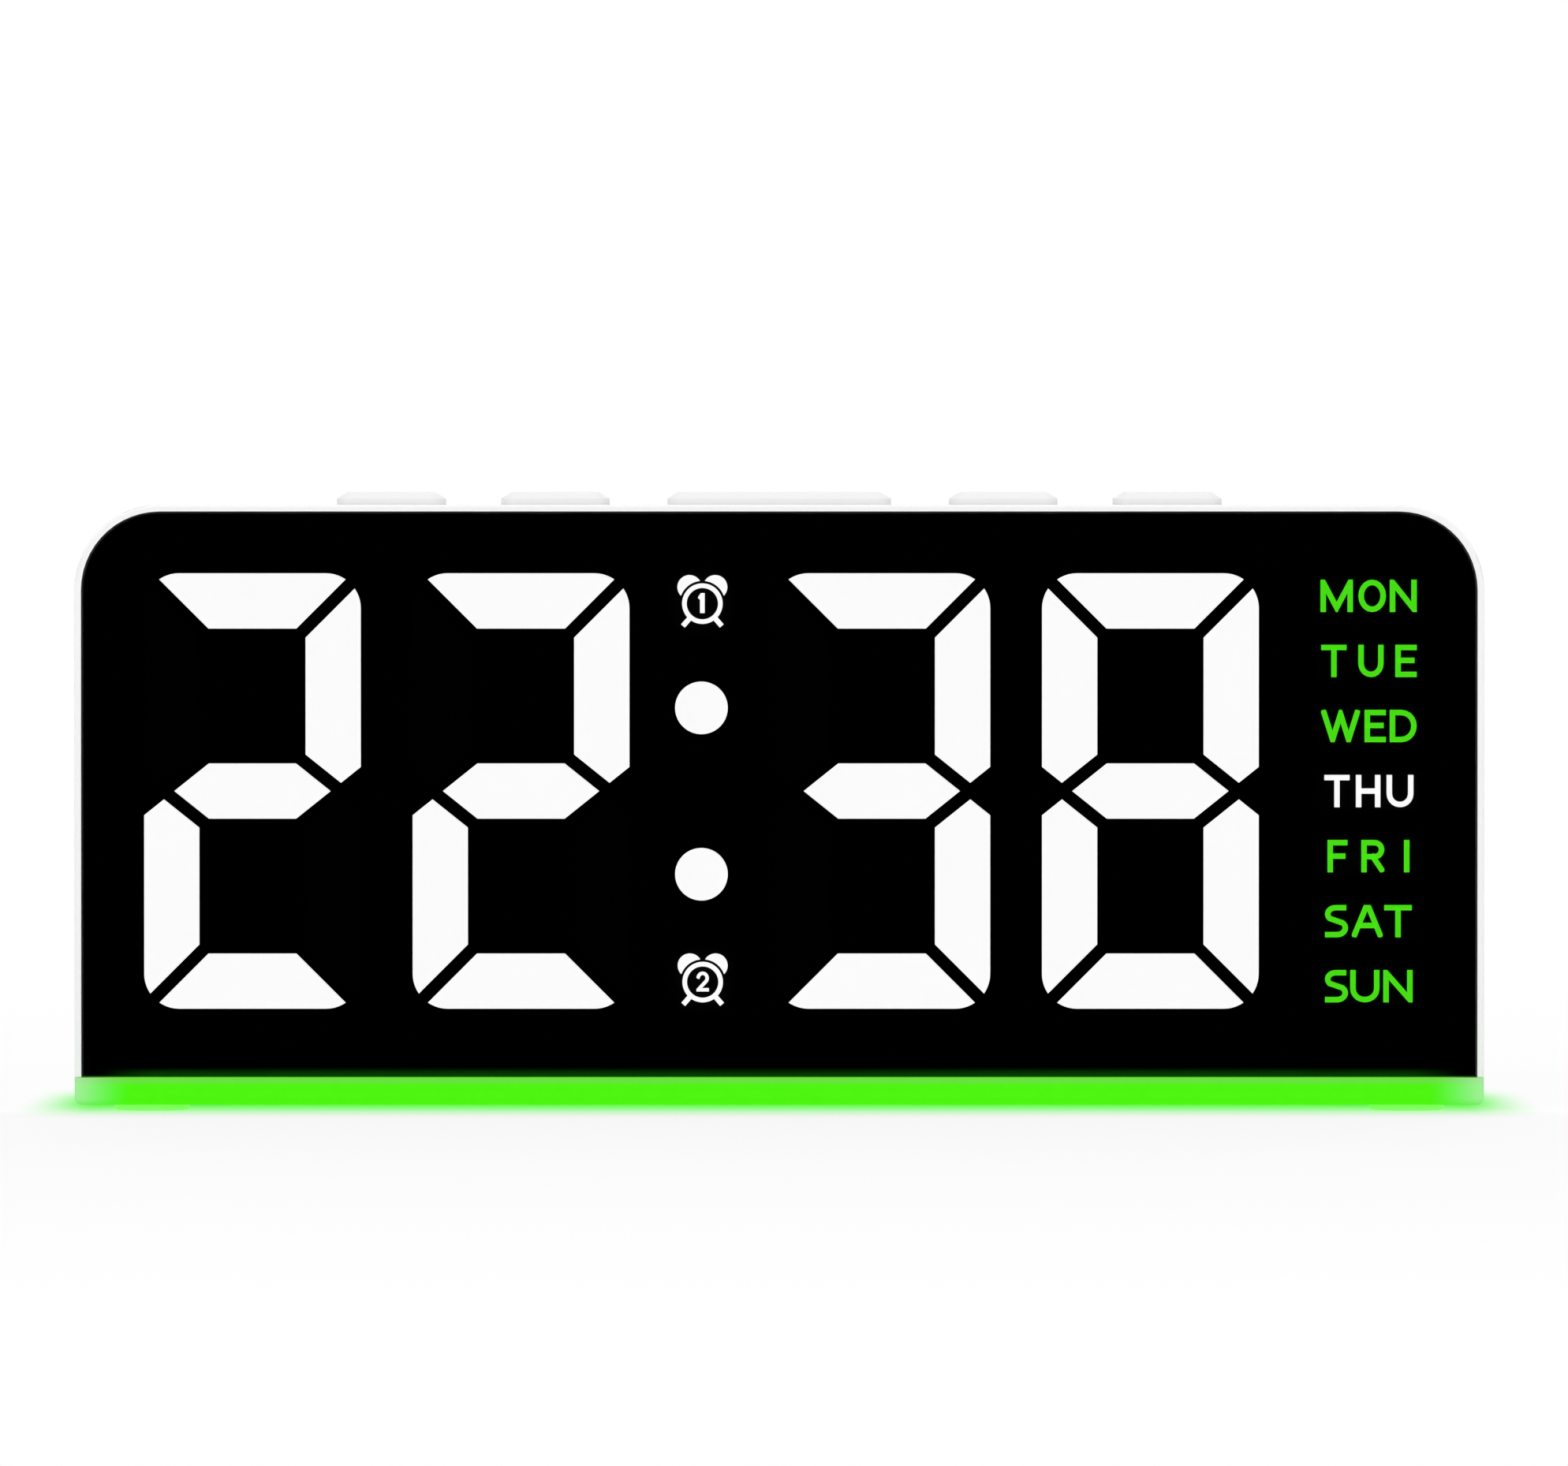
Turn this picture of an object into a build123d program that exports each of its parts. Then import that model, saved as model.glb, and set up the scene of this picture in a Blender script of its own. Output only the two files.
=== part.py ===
from build123d import *

import os
from math import hypot, sqrt

# Digital alarm clock that stands on a glowing base plate. Millimetres, +Z up, the display faces -Y and +X is on
# the viewer's right. The origin lies under the middle of the clock, on the surface that it stands on.

# Case
case_width = 150.0
case_depth = 36.0
case_height = 61.0  # of the case alone, above the base plate
case_corner_radius = 9.1
case_wall = 2.0
front_edge_round = 0.25
rear_edge_round = 1.2
cover_thickness = 2.0
cover_lip_wall = 1.2
cover_lip_depth = 2.0
cover_fit_gap = 0.12

# Lens and display stack, from the front to the back
rim_width = 0.72  # white edge that shows round the lens
lens_gap = 0.08
lens_recess = 0.2
lens_thickness = 2.0
lens_edge_chamfer = 0.15
mask_thickness = 0.3
stack_side_gap = 0.3
reflector_depth = 8.0
board_thickness = 1.6
segment_depth = 2.5

# Display across the case, from left to right, and up it
digit_left_margin = 7.35
digit_gap = 5.5
colon_gap = 15.32  # between the hours and the minutes
weekday_gap = 6.0
weekday_window_width = 11.2
weekday_right_margin = 6.73
digit_end_margin = 7.3  # from the case's top or floor to the digits

# Seven-segment digits
digit_corner_radius = 3.73
segment_width = 5.9
segment_gap = 1.36
waist_inset = 2.13  # from the digit's side to the point where its upper and lower halves meet
waist_slope = 0.8

# Dots, alarm pictograms and weekday names
colon_rise = 8.86
colon_dot_radius = 2.81
alarm_window_radius = 3.9
alarm_end_inset = 3.1  # from the digits' top or foot to a pictogram's middle
weekday_window_height = 4.4
weekday_end_inset = 0.21  # from the digits' top or foot to the last window
weekday_count = 7

# Light-emitting chips on the display board
chip_width = 1.6
chip_height = 0.8
chip_thickness = 0.7
chip_spread = 0.3  # distance of a segment's two chips as a share of the segment's length

# Posts and bosses inside the case
post_radius = 2.25
post_wall_overlap = 0.25
case_boss_radius = 2.75
boss_web_thickness = 1.6
lower_boss_rise = 6.4  # above the case floor
upper_boss_drop = 4.0  # below the start of the round corners
boss_start_gap = 1.9  # from the display board's back to the case bosses
notch_gap = 0.3

# Screws
screw_shank_radius = 1.0
screw_head_radius = 1.9
screw_head_height = 1.3
screw_head_round = 0.5
board_screw_length = 4.5
case_screw_length = 8.0
base_screw_length = 4.4
pilot_gap = 0.05
pilot_extra_depth = 0.4
clearance_hole_gap = 0.25
head_recess_gap = 0.3
cross_slot_width = 0.5
cross_slot_length = 2.2
cross_slot_depth = 0.6
cover_post_radius = 3.1
cover_post_length = 3.0
cover_seat_thickness = 2.4  # of the post under the screw head

# Keys on the top
key_y = 1.5
key_depth = 9.0
small_key_width = 11.6
snooze_key_width = 24.05
inner_key_x = 24.1
outer_key_x = 41.75
key_rise = 1.4
key_bevel_width = 1.2
key_bevel_height = 0.7
key_bevel_round = 0.25
key_corner_radius = 1.6
key_side_gap = 0.2
key_flange_overlap = 0.7
key_flange_thickness = 1.0
key_flange_gap = 0.15
key_stem_radius = 2.2
key_stem_length = 1.0
key_travel = 0.5

# Push switches, plungers and their board
switch_side = 6.0
switch_height = 3.5
switch_edge_chamfer = 0.3
plunger_radius = 1.75
plunger_rise = 1.2
plunger_sunk_depth = 1.0
plunger_fit_gap = 0.08
plunger_bottom_gap = 0.3
key_board_thickness = 1.2
key_board_side_margin = 2.0
key_board_front_margin = 1.5
key_post_radius = 2.0
key_post_gap = 0.5
key_board_rear_margin = 0.5

# Pin rows between the boards
pin_side = 0.64
pin_pitch = 2.54
pin_hole_gap = 0.06
header_depth = 2.5
header_height = 2.5
pin_end_length = 0.5
key_header_x = 12.2
key_header_pins = 6
power_header_pins = 4
light_header_x = 0.0
light_header_pins = 4

# Parts on the back of the display board
controller_x = -12.0
controller_rise = -3.0  # above the middle of the case
controller_end_room = 0.22
controller_height = 7.5
controller_thickness = 2.3
controller_lead_count = 14
controller_lead_pitch = 1.27
controller_lead_width = 0.42
controller_lead_reach = 1.4
controller_lead_thickness = 0.9
crystal_x = -29.0
crystal_rise = -6.0
crystal_width = 10.8
crystal_height = 4.4
crystal_thickness = 3.4
crystal_base_flange = 0.35
crystal_base_thickness = 0.5
capacitor_x = 12.0
capacitor_rise = -8.0
capacitor_radius = 3.15
capacitor_box_gap = 2.5
capacitor_groove_depth = 0.35
capacitor_groove_width = 0.8

# Battery box, cells and door
cell_radius = 5.25
cell_length = 44.5
cell_nub_radius = 1.9
cell_nub_length = 0.8
cell_edge_round = 0.5
cell_pitch = 10.9
cell_count = 3
cell_end_room = 2.2
cell_side_room = 0.4
cell_depth_room = 0.1
battery_rise = -4.0  # the box's middle above the case's middle
battery_wall = 1.6
door_shoulder = 0.8
ridge_width = 1.4
ridge_height = 1.6
door_thickness = 1.8
door_gap = 0.25
door_corner_radius = 1.0
door_cell_gap = 0.4
tongue_x = 14.0
tongue_width = 6.0
tongue_thickness = 1.3
tongue_drop = 1.8
tongue_plate_gap = 0.3
tongue_root_height = 1.2
tongue_slot_gap = 0.3
latch_width = 9.0
latch_height = 8.0
latch_slot_width = 0.8
grip_groove_count = 4
grip_groove_pitch = 1.4
grip_groove_width = 0.6
grip_groove_depth = 0.4

# Battery contacts and their wires
contact_thickness = 0.4
contact_side = 8.0
leaf_width = 4.0
leaf_length = 6.0
leaf_crest = 1.6
leaf_thickness = 0.35
leaf_cell_gap = 0.1
tab_width = 2.4
tab_reach = 1.5
tab_slot_gap = 0.15
wire_radius = 0.6
wire_bend_radius = 1.2
wire_lead = 2.2
battery_wire_jog = 3.0

# Supply socket and its board
socket_side_inset = 25.0
socket_width = 8.94
socket_height = 3.26
socket_length = 7.3
socket_wall = 0.3
socket_mouth_depth = 1.2  # of the recess round the socket in the rear cover
socket_recess_width = 12.8
socket_recess_height = 7.4
socket_recess_radius = 2.6
socket_hole_gap = 0.2
contact_blade_width = 6.7
contact_blade_thickness = 0.7
contact_blade_length = 4.4
contact_base_length = 1.3
contact_base_gap = 0.05
power_board_width = 18.0
power_board_thickness = 1.2
power_board_end_gap = 0.3
power_board_front_gap = 3.0
power_post_height = 2.5
power_post_radius = 2.0
power_post_spread = 6.6
power_post_gap = 0.4

# Sounder
sounder_side_inset = 27.0
sounder_rise = -3.0
sounder_radius = 8.5
sounder_thickness = 5.5
sounder_hole_radius = 1.0
sounder_hole_depth = 2.0
sounder_edge_round = 0.5
sounder_ring_gap = 0.15
sounder_ring_wall = 1.2
sounder_ring_height = 3.5
sounder_wire_spread = 4.0
sounder_wire_jog = 5.0
grille_slot_count = 5
grille_slot_pitch = 2.6
grille_slot_width = 1.3
grille_radius = 6.6

# Light strip on the case floor
lamp_count = 9
lamp_side = 5.0
lamp_height = 1.6
lamp_window_gap = 0.3
light_board_thickness = 1.0
light_board_width = 6.4
light_board_front_gap = 0.4
light_board_boss_gap = 2.1
light_board_end_margin = 4.0
stake_radius = 0.8
stake_gap = 0.1
stake_rise = 0.5

# Base plate and feet
base_thickness = 2.9
base_corner_radius = 0.5
base_edge_round = 0.7
light_groove_depth = 0.8
light_groove_width = 5.8
base_screw_side_inset = 13.5
base_screw_front_y = -1.5
base_screw_rear_y = 6.5
base_head_sink = 0.5
base_boss_radius = 2.5
base_boss_height = 2.2
foot_radius = 4.0
foot_thickness = 1.2
foot_sunk_depth = 0.5
foot_gap = 0.1
foot_edge_round = 0.25
foot_side_inset = 8.0
foot_depth_inset = 6.5

# Heights
base_bottom = foot_thickness - foot_sunk_depth
case_bottom = base_bottom + base_thickness
case_top = case_bottom + case_height
case_middle = (case_bottom + case_top) / 2
floor_top = case_bottom + case_wall
ceiling = case_top - case_wall
inner_half_width = case_width / 2 - case_wall

# Depths
front = -case_depth / 2
back = case_depth / 2
lens_front = front + lens_recess
mask_front = lens_front + lens_thickness
ledge = mask_front + mask_thickness
board_front = ledge + reflector_depth
board_back = board_front + board_thickness
cover_inside = back - cover_thickness

# Display: two pairs of digits with the colon between them, and the weekday names on the right
weekday_left = case_width / 2 - weekday_right_margin - weekday_window_width
weekday_x = weekday_left + weekday_window_width / 2
digit_left = digit_left_margin - case_width / 2
digit_width = (weekday_left - weekday_gap - digit_left - 2 * digit_gap - colon_gap) / 4
digit_height = case_height - 2 * digit_end_margin
digit_pitch = digit_width + digit_gap
hours_middle = digit_left + digit_pitch - digit_gap / 2
minutes_middle = hours_middle + digit_pitch + digit_width + colon_gap
colon_x = (hours_middle + minutes_middle) / 2
digit_xs = [middle + side * digit_pitch / 2 for middle in (hours_middle, minutes_middle) for side in (-1, 1)]
alarm_rise = digit_height / 2 - alarm_end_inset
weekday_pitch = (digit_height - 2 * weekday_end_inset - weekday_window_height) / (weekday_count - 1)
colon_places = [(colon_x, case_middle + side * colon_rise) for side in (-1, 1)]
alarm_places = [(colon_x, case_middle + side * alarm_rise) for side in (-1, 1)]
weekday_places = [
    (weekday_x, case_middle + weekday_pitch * (i - (weekday_count - 1) / 2)) for i in range(weekday_count)
]

# Display posts, between the digits of the hours and between the minutes and the weekday names
display_post_offset = post_radius - post_wall_overlap
display_posts = [
    (x, z)
    for x in (hours_middle, weekday_left - weekday_gap / 2)
    for z in (floor_top + display_post_offset, ceiling - display_post_offset)
]

# Case bosses, which take the rear cover's screws
case_boss_x = inner_half_width - cover_fit_gap - cover_post_radius
case_bosses = [
    (side * case_boss_x, z)
    for side in (-1, 1)
    for z in (floor_top + lower_boss_rise, case_top - case_corner_radius - upper_boss_drop)
]
case_boss_start = board_back + boss_start_gap
case_boss_end = cover_inside - cover_post_length
case_screw_seat = cover_inside - cover_post_length + cover_seat_thickness

# Keys
keys = {
    "set": (-outer_key_x, small_key_width),
    "alarm": (-inner_key_x, small_key_width),
    "snooze": (0, snooze_key_width),
    "up": (inner_key_x, small_key_width),
    "down": (outer_key_x, small_key_width),
}
flange_top = ceiling - key_flange_gap
flange_bottom = flange_top - key_flange_thickness
stem_bottom = flange_bottom - key_stem_length
switch_top = stem_bottom - plunger_rise
key_board_top = switch_top - switch_height
key_board_bottom = key_board_top - key_board_thickness
key_flange_depth = key_depth + 2 * key_flange_overlap
key_post_y = key_y + key_flange_depth / 2 + key_post_gap + key_post_radius
key_posts = [(side * (inner_key_x + outer_key_x) / 2, key_post_y) for side in (-1, 1)]
key_board_half_width = outer_key_x + switch_side / 2 + key_board_side_margin
key_board_front = key_y - switch_side / 2 - key_board_front_margin
key_board_rear = key_post_y + key_post_radius + key_board_rear_margin

# Battery box
door_inside = back - door_thickness
cell_y = door_inside - door_cell_gap - cell_radius
box_inside = cell_y - cell_radius - cell_depth_room
box_front = box_inside - battery_wall
battery_middle = case_middle + battery_rise
box_half_width = cell_length / 2 + cell_end_room
box_half_height = (cell_count * cell_pitch) / 2 + cell_side_room
door_hole_half_width = box_half_width + door_shoulder
door_hole_half_height = box_half_height + door_shoulder
door_bottom = battery_middle - door_hole_half_height + door_gap
tongue_front = cover_inside - tongue_plate_gap - tongue_thickness
tongue_bottom = door_bottom - tongue_drop
tongue_sweep = hypot(back - tongue_front, tongue_drop)
cell_heights = [battery_middle + cell_pitch * (i - (cell_count - 1) / 2) for i in range(cell_count)]

# Parts on the back of the display board
controller_width = controller_lead_count * controller_lead_pitch + controller_end_room
capacitor_length = box_front - board_back - capacitor_box_gap

# Light strip, between the base screws of the two sides
base_screw_x = case_width / 2 - base_screw_side_inset
light_board_half_width = base_screw_x - base_boss_radius - light_board_boss_gap
lamp_pitch = 2 * (light_board_half_width - light_board_end_margin - lamp_side / 2) / (lamp_count - 1)
light_board_front = board_back + screw_head_height + light_board_front_gap
light_board_rear = light_board_front + light_board_width
lamp_y = (light_board_front + light_board_rear) / 2
lamp_xs = [lamp_pitch * (i - (lamp_count - 1) / 2) for i in range(lamp_count)]
light_board_top = floor_top + light_board_thickness
stake_xs = [side * (light_board_half_width - light_board_end_margin / 2) for side in (-1, 1)]

# Supply socket
socket_x = case_width / 2 - socket_side_inset
power_board_bottom = floor_top + power_post_height
power_board_top = power_board_bottom + power_board_thickness
socket_z = power_board_top + socket_height / 2
socket_mouth = back - socket_mouth_depth
power_board_front = board_back + power_board_front_gap
power_board_rear = cover_inside - power_board_end_gap
power_post_y = light_board_rear + power_post_gap + power_post_radius
power_posts = [(socket_x + side * power_post_spread, power_post_y) for side in (-1, 1)]

# Sounder
sounder_x = sounder_side_inset - case_width / 2
sounder_z = case_middle + sounder_rise
sounder_front = cover_inside - sounder_thickness

# Base plate
base_screws = [
    (side * base_screw_x, y) for side in (-1, 1) for y in (base_screw_front_y, base_screw_rear_y)
]
base_screw_seat = base_bottom + base_head_sink + screw_head_height
foot_x = case_width / 2 - foot_side_inset
foot_y = case_depth / 2 - foot_depth_inset


def upright(y):
    """Plane that faces the viewer at a depth; its local Y runs up the clock."""
    return Plane.XZ.offset(-y)


def extrude_back(depth, mode=Mode.ADD):
    """Extrude an upright sketch away from the viewer."""
    extrude(amount=-depth, mode=mode)


def save(piece, name):
    """Label a finished piece and write its file."""
    piece.label = name
    export_step(piece, f"parts/{name}.step")


def case_outline(inset, bottom):
    """Face of the case drawn in from its outer edge; only the two top corners are round."""
    width = case_width - 2 * inset
    top = case_top - inset
    with Locations((0, (bottom + top) / 2)):
        Rectangle(width, top - bottom)
    fillet(vertices().group_by(Axis.Y)[-1], case_corner_radius - inset)


def mirrored(points, x_sign, z_sign):
    """The same outline on another side of the digit's middle."""
    return [(x_sign * x, z_sign * z) for x, z in points]


def segment_outlines():
    """Corners of the seven segments about the middle of a digit, with square outer corners."""
    half_width = digit_width / 2
    half_height = digit_height / 2
    mitre_step = segment_gap / sqrt(2)
    tip_rise = segment_gap / 2 * hypot(1, waist_slope)
    waist_x = half_width - waist_inset
    inner_x = half_width - segment_width
    inner_z = half_height - segment_width
    upper = [
        (mitre_step - half_width, half_height),
        (half_width - mitre_step, half_height),
        (inner_x - mitre_step, inner_z),
        (mitre_step - inner_x, inner_z),
    ]
    upper_right = [
        (inner_x, inner_z - mitre_step),
        (half_width, half_height - mitre_step),
        (half_width, tip_rise + waist_slope * waist_inset),
        (waist_x, tip_rise),
        (inner_x, tip_rise + waist_slope * (waist_x - inner_x)),
    ]
    bar_end = waist_x - tip_rise / waist_slope
    bar_shoulder = bar_end - segment_width / 2 / waist_slope
    middle = [
        (bar_end, 0),
        (bar_shoulder, segment_width / 2),
        (-bar_shoulder, segment_width / 2),
        (-bar_end, 0),
        (-bar_shoulder, -segment_width / 2),
        (bar_shoulder, -segment_width / 2),
    ]
    return [
        upper,
        upper_right,
        mirrored(upper_right, 1, -1),
        mirrored(upper, 1, -1),
        mirrored(upper_right, -1, -1),
        mirrored(upper_right, -1, 1),
        middle,
    ]


def segment_chip_places():
    """Two chips along each segment, about the middle of a digit."""
    side_x = (digit_width - segment_width) / 2
    end_z = (digit_height - segment_width) / 2
    step_x = chip_spread * digit_width / 2
    step_z = chip_spread * digit_height / 4
    places = [(sign * step_x, z) for z in (-end_z, 0, end_z) for sign in (-1, 1)]
    for x in (-side_x, side_x):
        for half in (-1, 1):
            places += [(x, half * digit_height / 4 + sign * step_z) for sign in (-1, 1)]
    return places


def digit_faces(digit_x):
    """Segments of one digit, with the digit's round outer corners."""
    with BuildSketch(Plane.XY) as digit:
        for points in segment_outlines():
            with BuildLine():
                Polyline(*points, close=True)
            make_face()
        RectangleRounded(digit_width, digit_height, digit_corner_radius, mode=Mode.INTERSECT)
    with Locations((digit_x, case_middle)):
        add(digit.sketch)


def symbol_faces():
    """Windows of the colon, the alarm pictograms and the weekday names."""
    with Locations(*colon_places):
        Circle(colon_dot_radius)
    with Locations(*alarm_places):
        Circle(alarm_window_radius)
    with Locations(*weekday_places):
        Rectangle(weekday_window_width, weekday_window_height)


def make_screw(length):
    """Pan-head screw with its head above the ground plane and its shank below it."""
    with BuildPart() as made:
        Cylinder(screw_head_radius, screw_head_height, align=(Align.CENTER, Align.CENTER, Align.MIN))
        fillet(made.edges().group_by(Axis.Z)[-1], screw_head_round)
        Cylinder(screw_shank_radius, length, align=(Align.CENTER, Align.CENTER, Align.MAX))
        with BuildSketch(Plane.XY.offset(screw_head_height)):
            Rectangle(cross_slot_length, cross_slot_width)
            Rectangle(cross_slot_width, cross_slot_length)
        extrude(amount=-cross_slot_depth, mode=Mode.SUBTRACT)
    return made.part


def header_pins(x, count):
    """Middles of a pin row along X."""
    return [x + pin_pitch * (i - (count - 1) / 2) for i in range(count)]


def header_pin_height(board_face, up):
    """Height of the level pins of a row that stands on a level board's face, or hangs from it."""
    return board_face + up * header_height / 2


def make_header(x, count, board_edge, board_face, up, leg_length):
    """Angled pin row: level pins reach into the display board, upright legs into the level board."""
    leg_y = board_edge + header_depth / 2
    with BuildPart() as made:
        with BuildSketch(Plane.XY.offset(board_face)):
            with Locations((x, leg_y)):
                Rectangle(count * pin_pitch, header_depth)
        extrude(amount=up * header_height)
        with BuildSketch(upright(board_front)):
            with Locations(*[(pin_x, header_pin_height(board_face, up)) for pin_x in header_pins(x, count)]):
                Rectangle(pin_side, pin_side)
        extrude_back(board_edge - board_front)
        with BuildSketch(Plane.XY.offset(board_face)):
            with Locations(*[(pin_x, leg_y) for pin_x in header_pins(x, count)]):
                Rectangle(pin_side, pin_side)
        extrude(amount=-up * leg_length)
    return made.part


def run_wire(start, end):
    """Wire that leaves both its ends along Y."""
    points = [
        start,
        (start[0], start[1] - wire_lead, start[2]),
        (end[0], end[1] + wire_lead, end[2]),
        end,
    ]
    with BuildPart() as made:
        with BuildLine() as route:
            FilletPolyline(*points, radius=wire_bend_radius)
        with BuildSketch(Plane(origin=start, z_dir=(0, -1, 0))):
            Circle(wire_radius)
        sweep(path=route.line)
    return made.part


pin_hole_radius = pin_side / sqrt(2) + pin_hole_gap
clearance_hole_radius = screw_shank_radius + clearance_hole_gap
head_hole_radius = screw_head_radius + head_recess_gap
pilot_radius = screw_shank_radius + pilot_gap
facing_back = (-90, 0, 0)
facing_down = (180, 0, 0)
os.makedirs("parts", exist_ok=True)

# Case shell: open at the back, and at the front behind the lens
with BuildPart() as front_housing:
    with BuildSketch(upright(front)):
        case_outline(0, case_bottom)
    extrude_back(cover_inside - front)
    fillet(front_housing.faces().sort_by(Axis.Y)[0].edges(), front_edge_round)
    with BuildSketch(upright(front)):
        case_outline(case_wall, floor_top)
    extrude_back(cover_inside - front, mode=Mode.SUBTRACT)
    with BuildSketch(upright(front)):
        case_outline(rim_width, case_bottom)
    extrude_back(ledge - front, mode=Mode.SUBTRACT)
    # Posts of the display board
    with BuildSketch(upright(ledge)):
        with Locations(*display_posts):
            Circle(post_radius)
    extrude_back(board_front - ledge)
    with BuildSketch(upright(board_front)):
        with Locations(*display_posts):
            Circle(pilot_radius)
    extrude(amount=board_screw_length - board_thickness + pilot_extra_depth, mode=Mode.SUBTRACT)
    # Bosses for the rear cover's screws, each with a web to the side wall
    with BuildSketch(upright(case_boss_start)):
        with Locations(*case_bosses):
            Circle(case_boss_radius)
        for x, z in case_bosses:
            wall_x = inner_half_width if x > 0 else -inner_half_width
            with Locations(((x + wall_x) / 2, z)):
                Rectangle(abs(wall_x - x), boss_web_thickness)
    extrude_back(case_boss_end - case_boss_start)
    with BuildSketch(upright(case_boss_end)):
        with Locations(*case_bosses):
            Circle(pilot_radius)
    extrude(amount=case_boss_end - case_screw_seat + case_screw_length + pilot_extra_depth, mode=Mode.SUBTRACT)
    # Key openings, and the posts that the key board hangs from
    with BuildSketch(Plane.XY.offset(ceiling)):
        for x, width in keys.values():
            with Locations((x, key_y)):
                RectangleRounded(
                    width + 2 * key_side_gap, key_depth + 2 * key_side_gap, key_corner_radius + key_side_gap
                )
    extrude(amount=case_wall, mode=Mode.SUBTRACT)
    with BuildSketch(Plane.XY.offset(key_board_top)):
        with Locations(*key_posts):
            Circle(key_post_radius)
    extrude(amount=ceiling - key_board_top)
    with BuildSketch(Plane.XY.offset(key_board_top)):
        with Locations(*key_posts):
            Circle(pilot_radius)
    extrude(amount=board_screw_length - key_board_thickness + pilot_extra_depth, mode=Mode.SUBTRACT)
    # Lamp windows in the floor, and stakes for the light board
    with BuildSketch(Plane.XY.offset(case_bottom)):
        with Locations(*[(x, lamp_y) for x in lamp_xs]):
            Rectangle(lamp_side + 2 * lamp_window_gap, lamp_side + 2 * lamp_window_gap)
    extrude(amount=case_wall, mode=Mode.SUBTRACT)
    with BuildSketch(Plane.XY.offset(floor_top)):
        with Locations(*[(x, lamp_y) for x in stake_xs]):
            Circle(stake_radius)
    extrude(amount=light_board_thickness + stake_rise)
    # Posts of the power board, and bosses for the base screws
    with BuildSketch(Plane.XY.offset(floor_top)):
        with Locations(*power_posts):
            Circle(power_post_radius)
    extrude(amount=power_post_height)
    with BuildSketch(Plane.XY.offset(power_board_bottom)):
        with Locations(*power_posts):
            Circle(pilot_radius)
    extrude(amount=power_board_thickness - board_screw_length - pilot_extra_depth, mode=Mode.SUBTRACT)
    with BuildSketch(Plane.XY.offset(floor_top)):
        with Locations(*base_screws):
            Circle(base_boss_radius)
    extrude(amount=base_boss_height)
    with BuildSketch(Plane.XY.offset(case_bottom)):
        with Locations(*base_screws):
            Circle(pilot_radius)
    extrude(amount=base_screw_seat + base_screw_length + pilot_extra_depth - case_bottom, mode=Mode.SUBTRACT)
save(front_housing.part, "front_housing")

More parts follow.
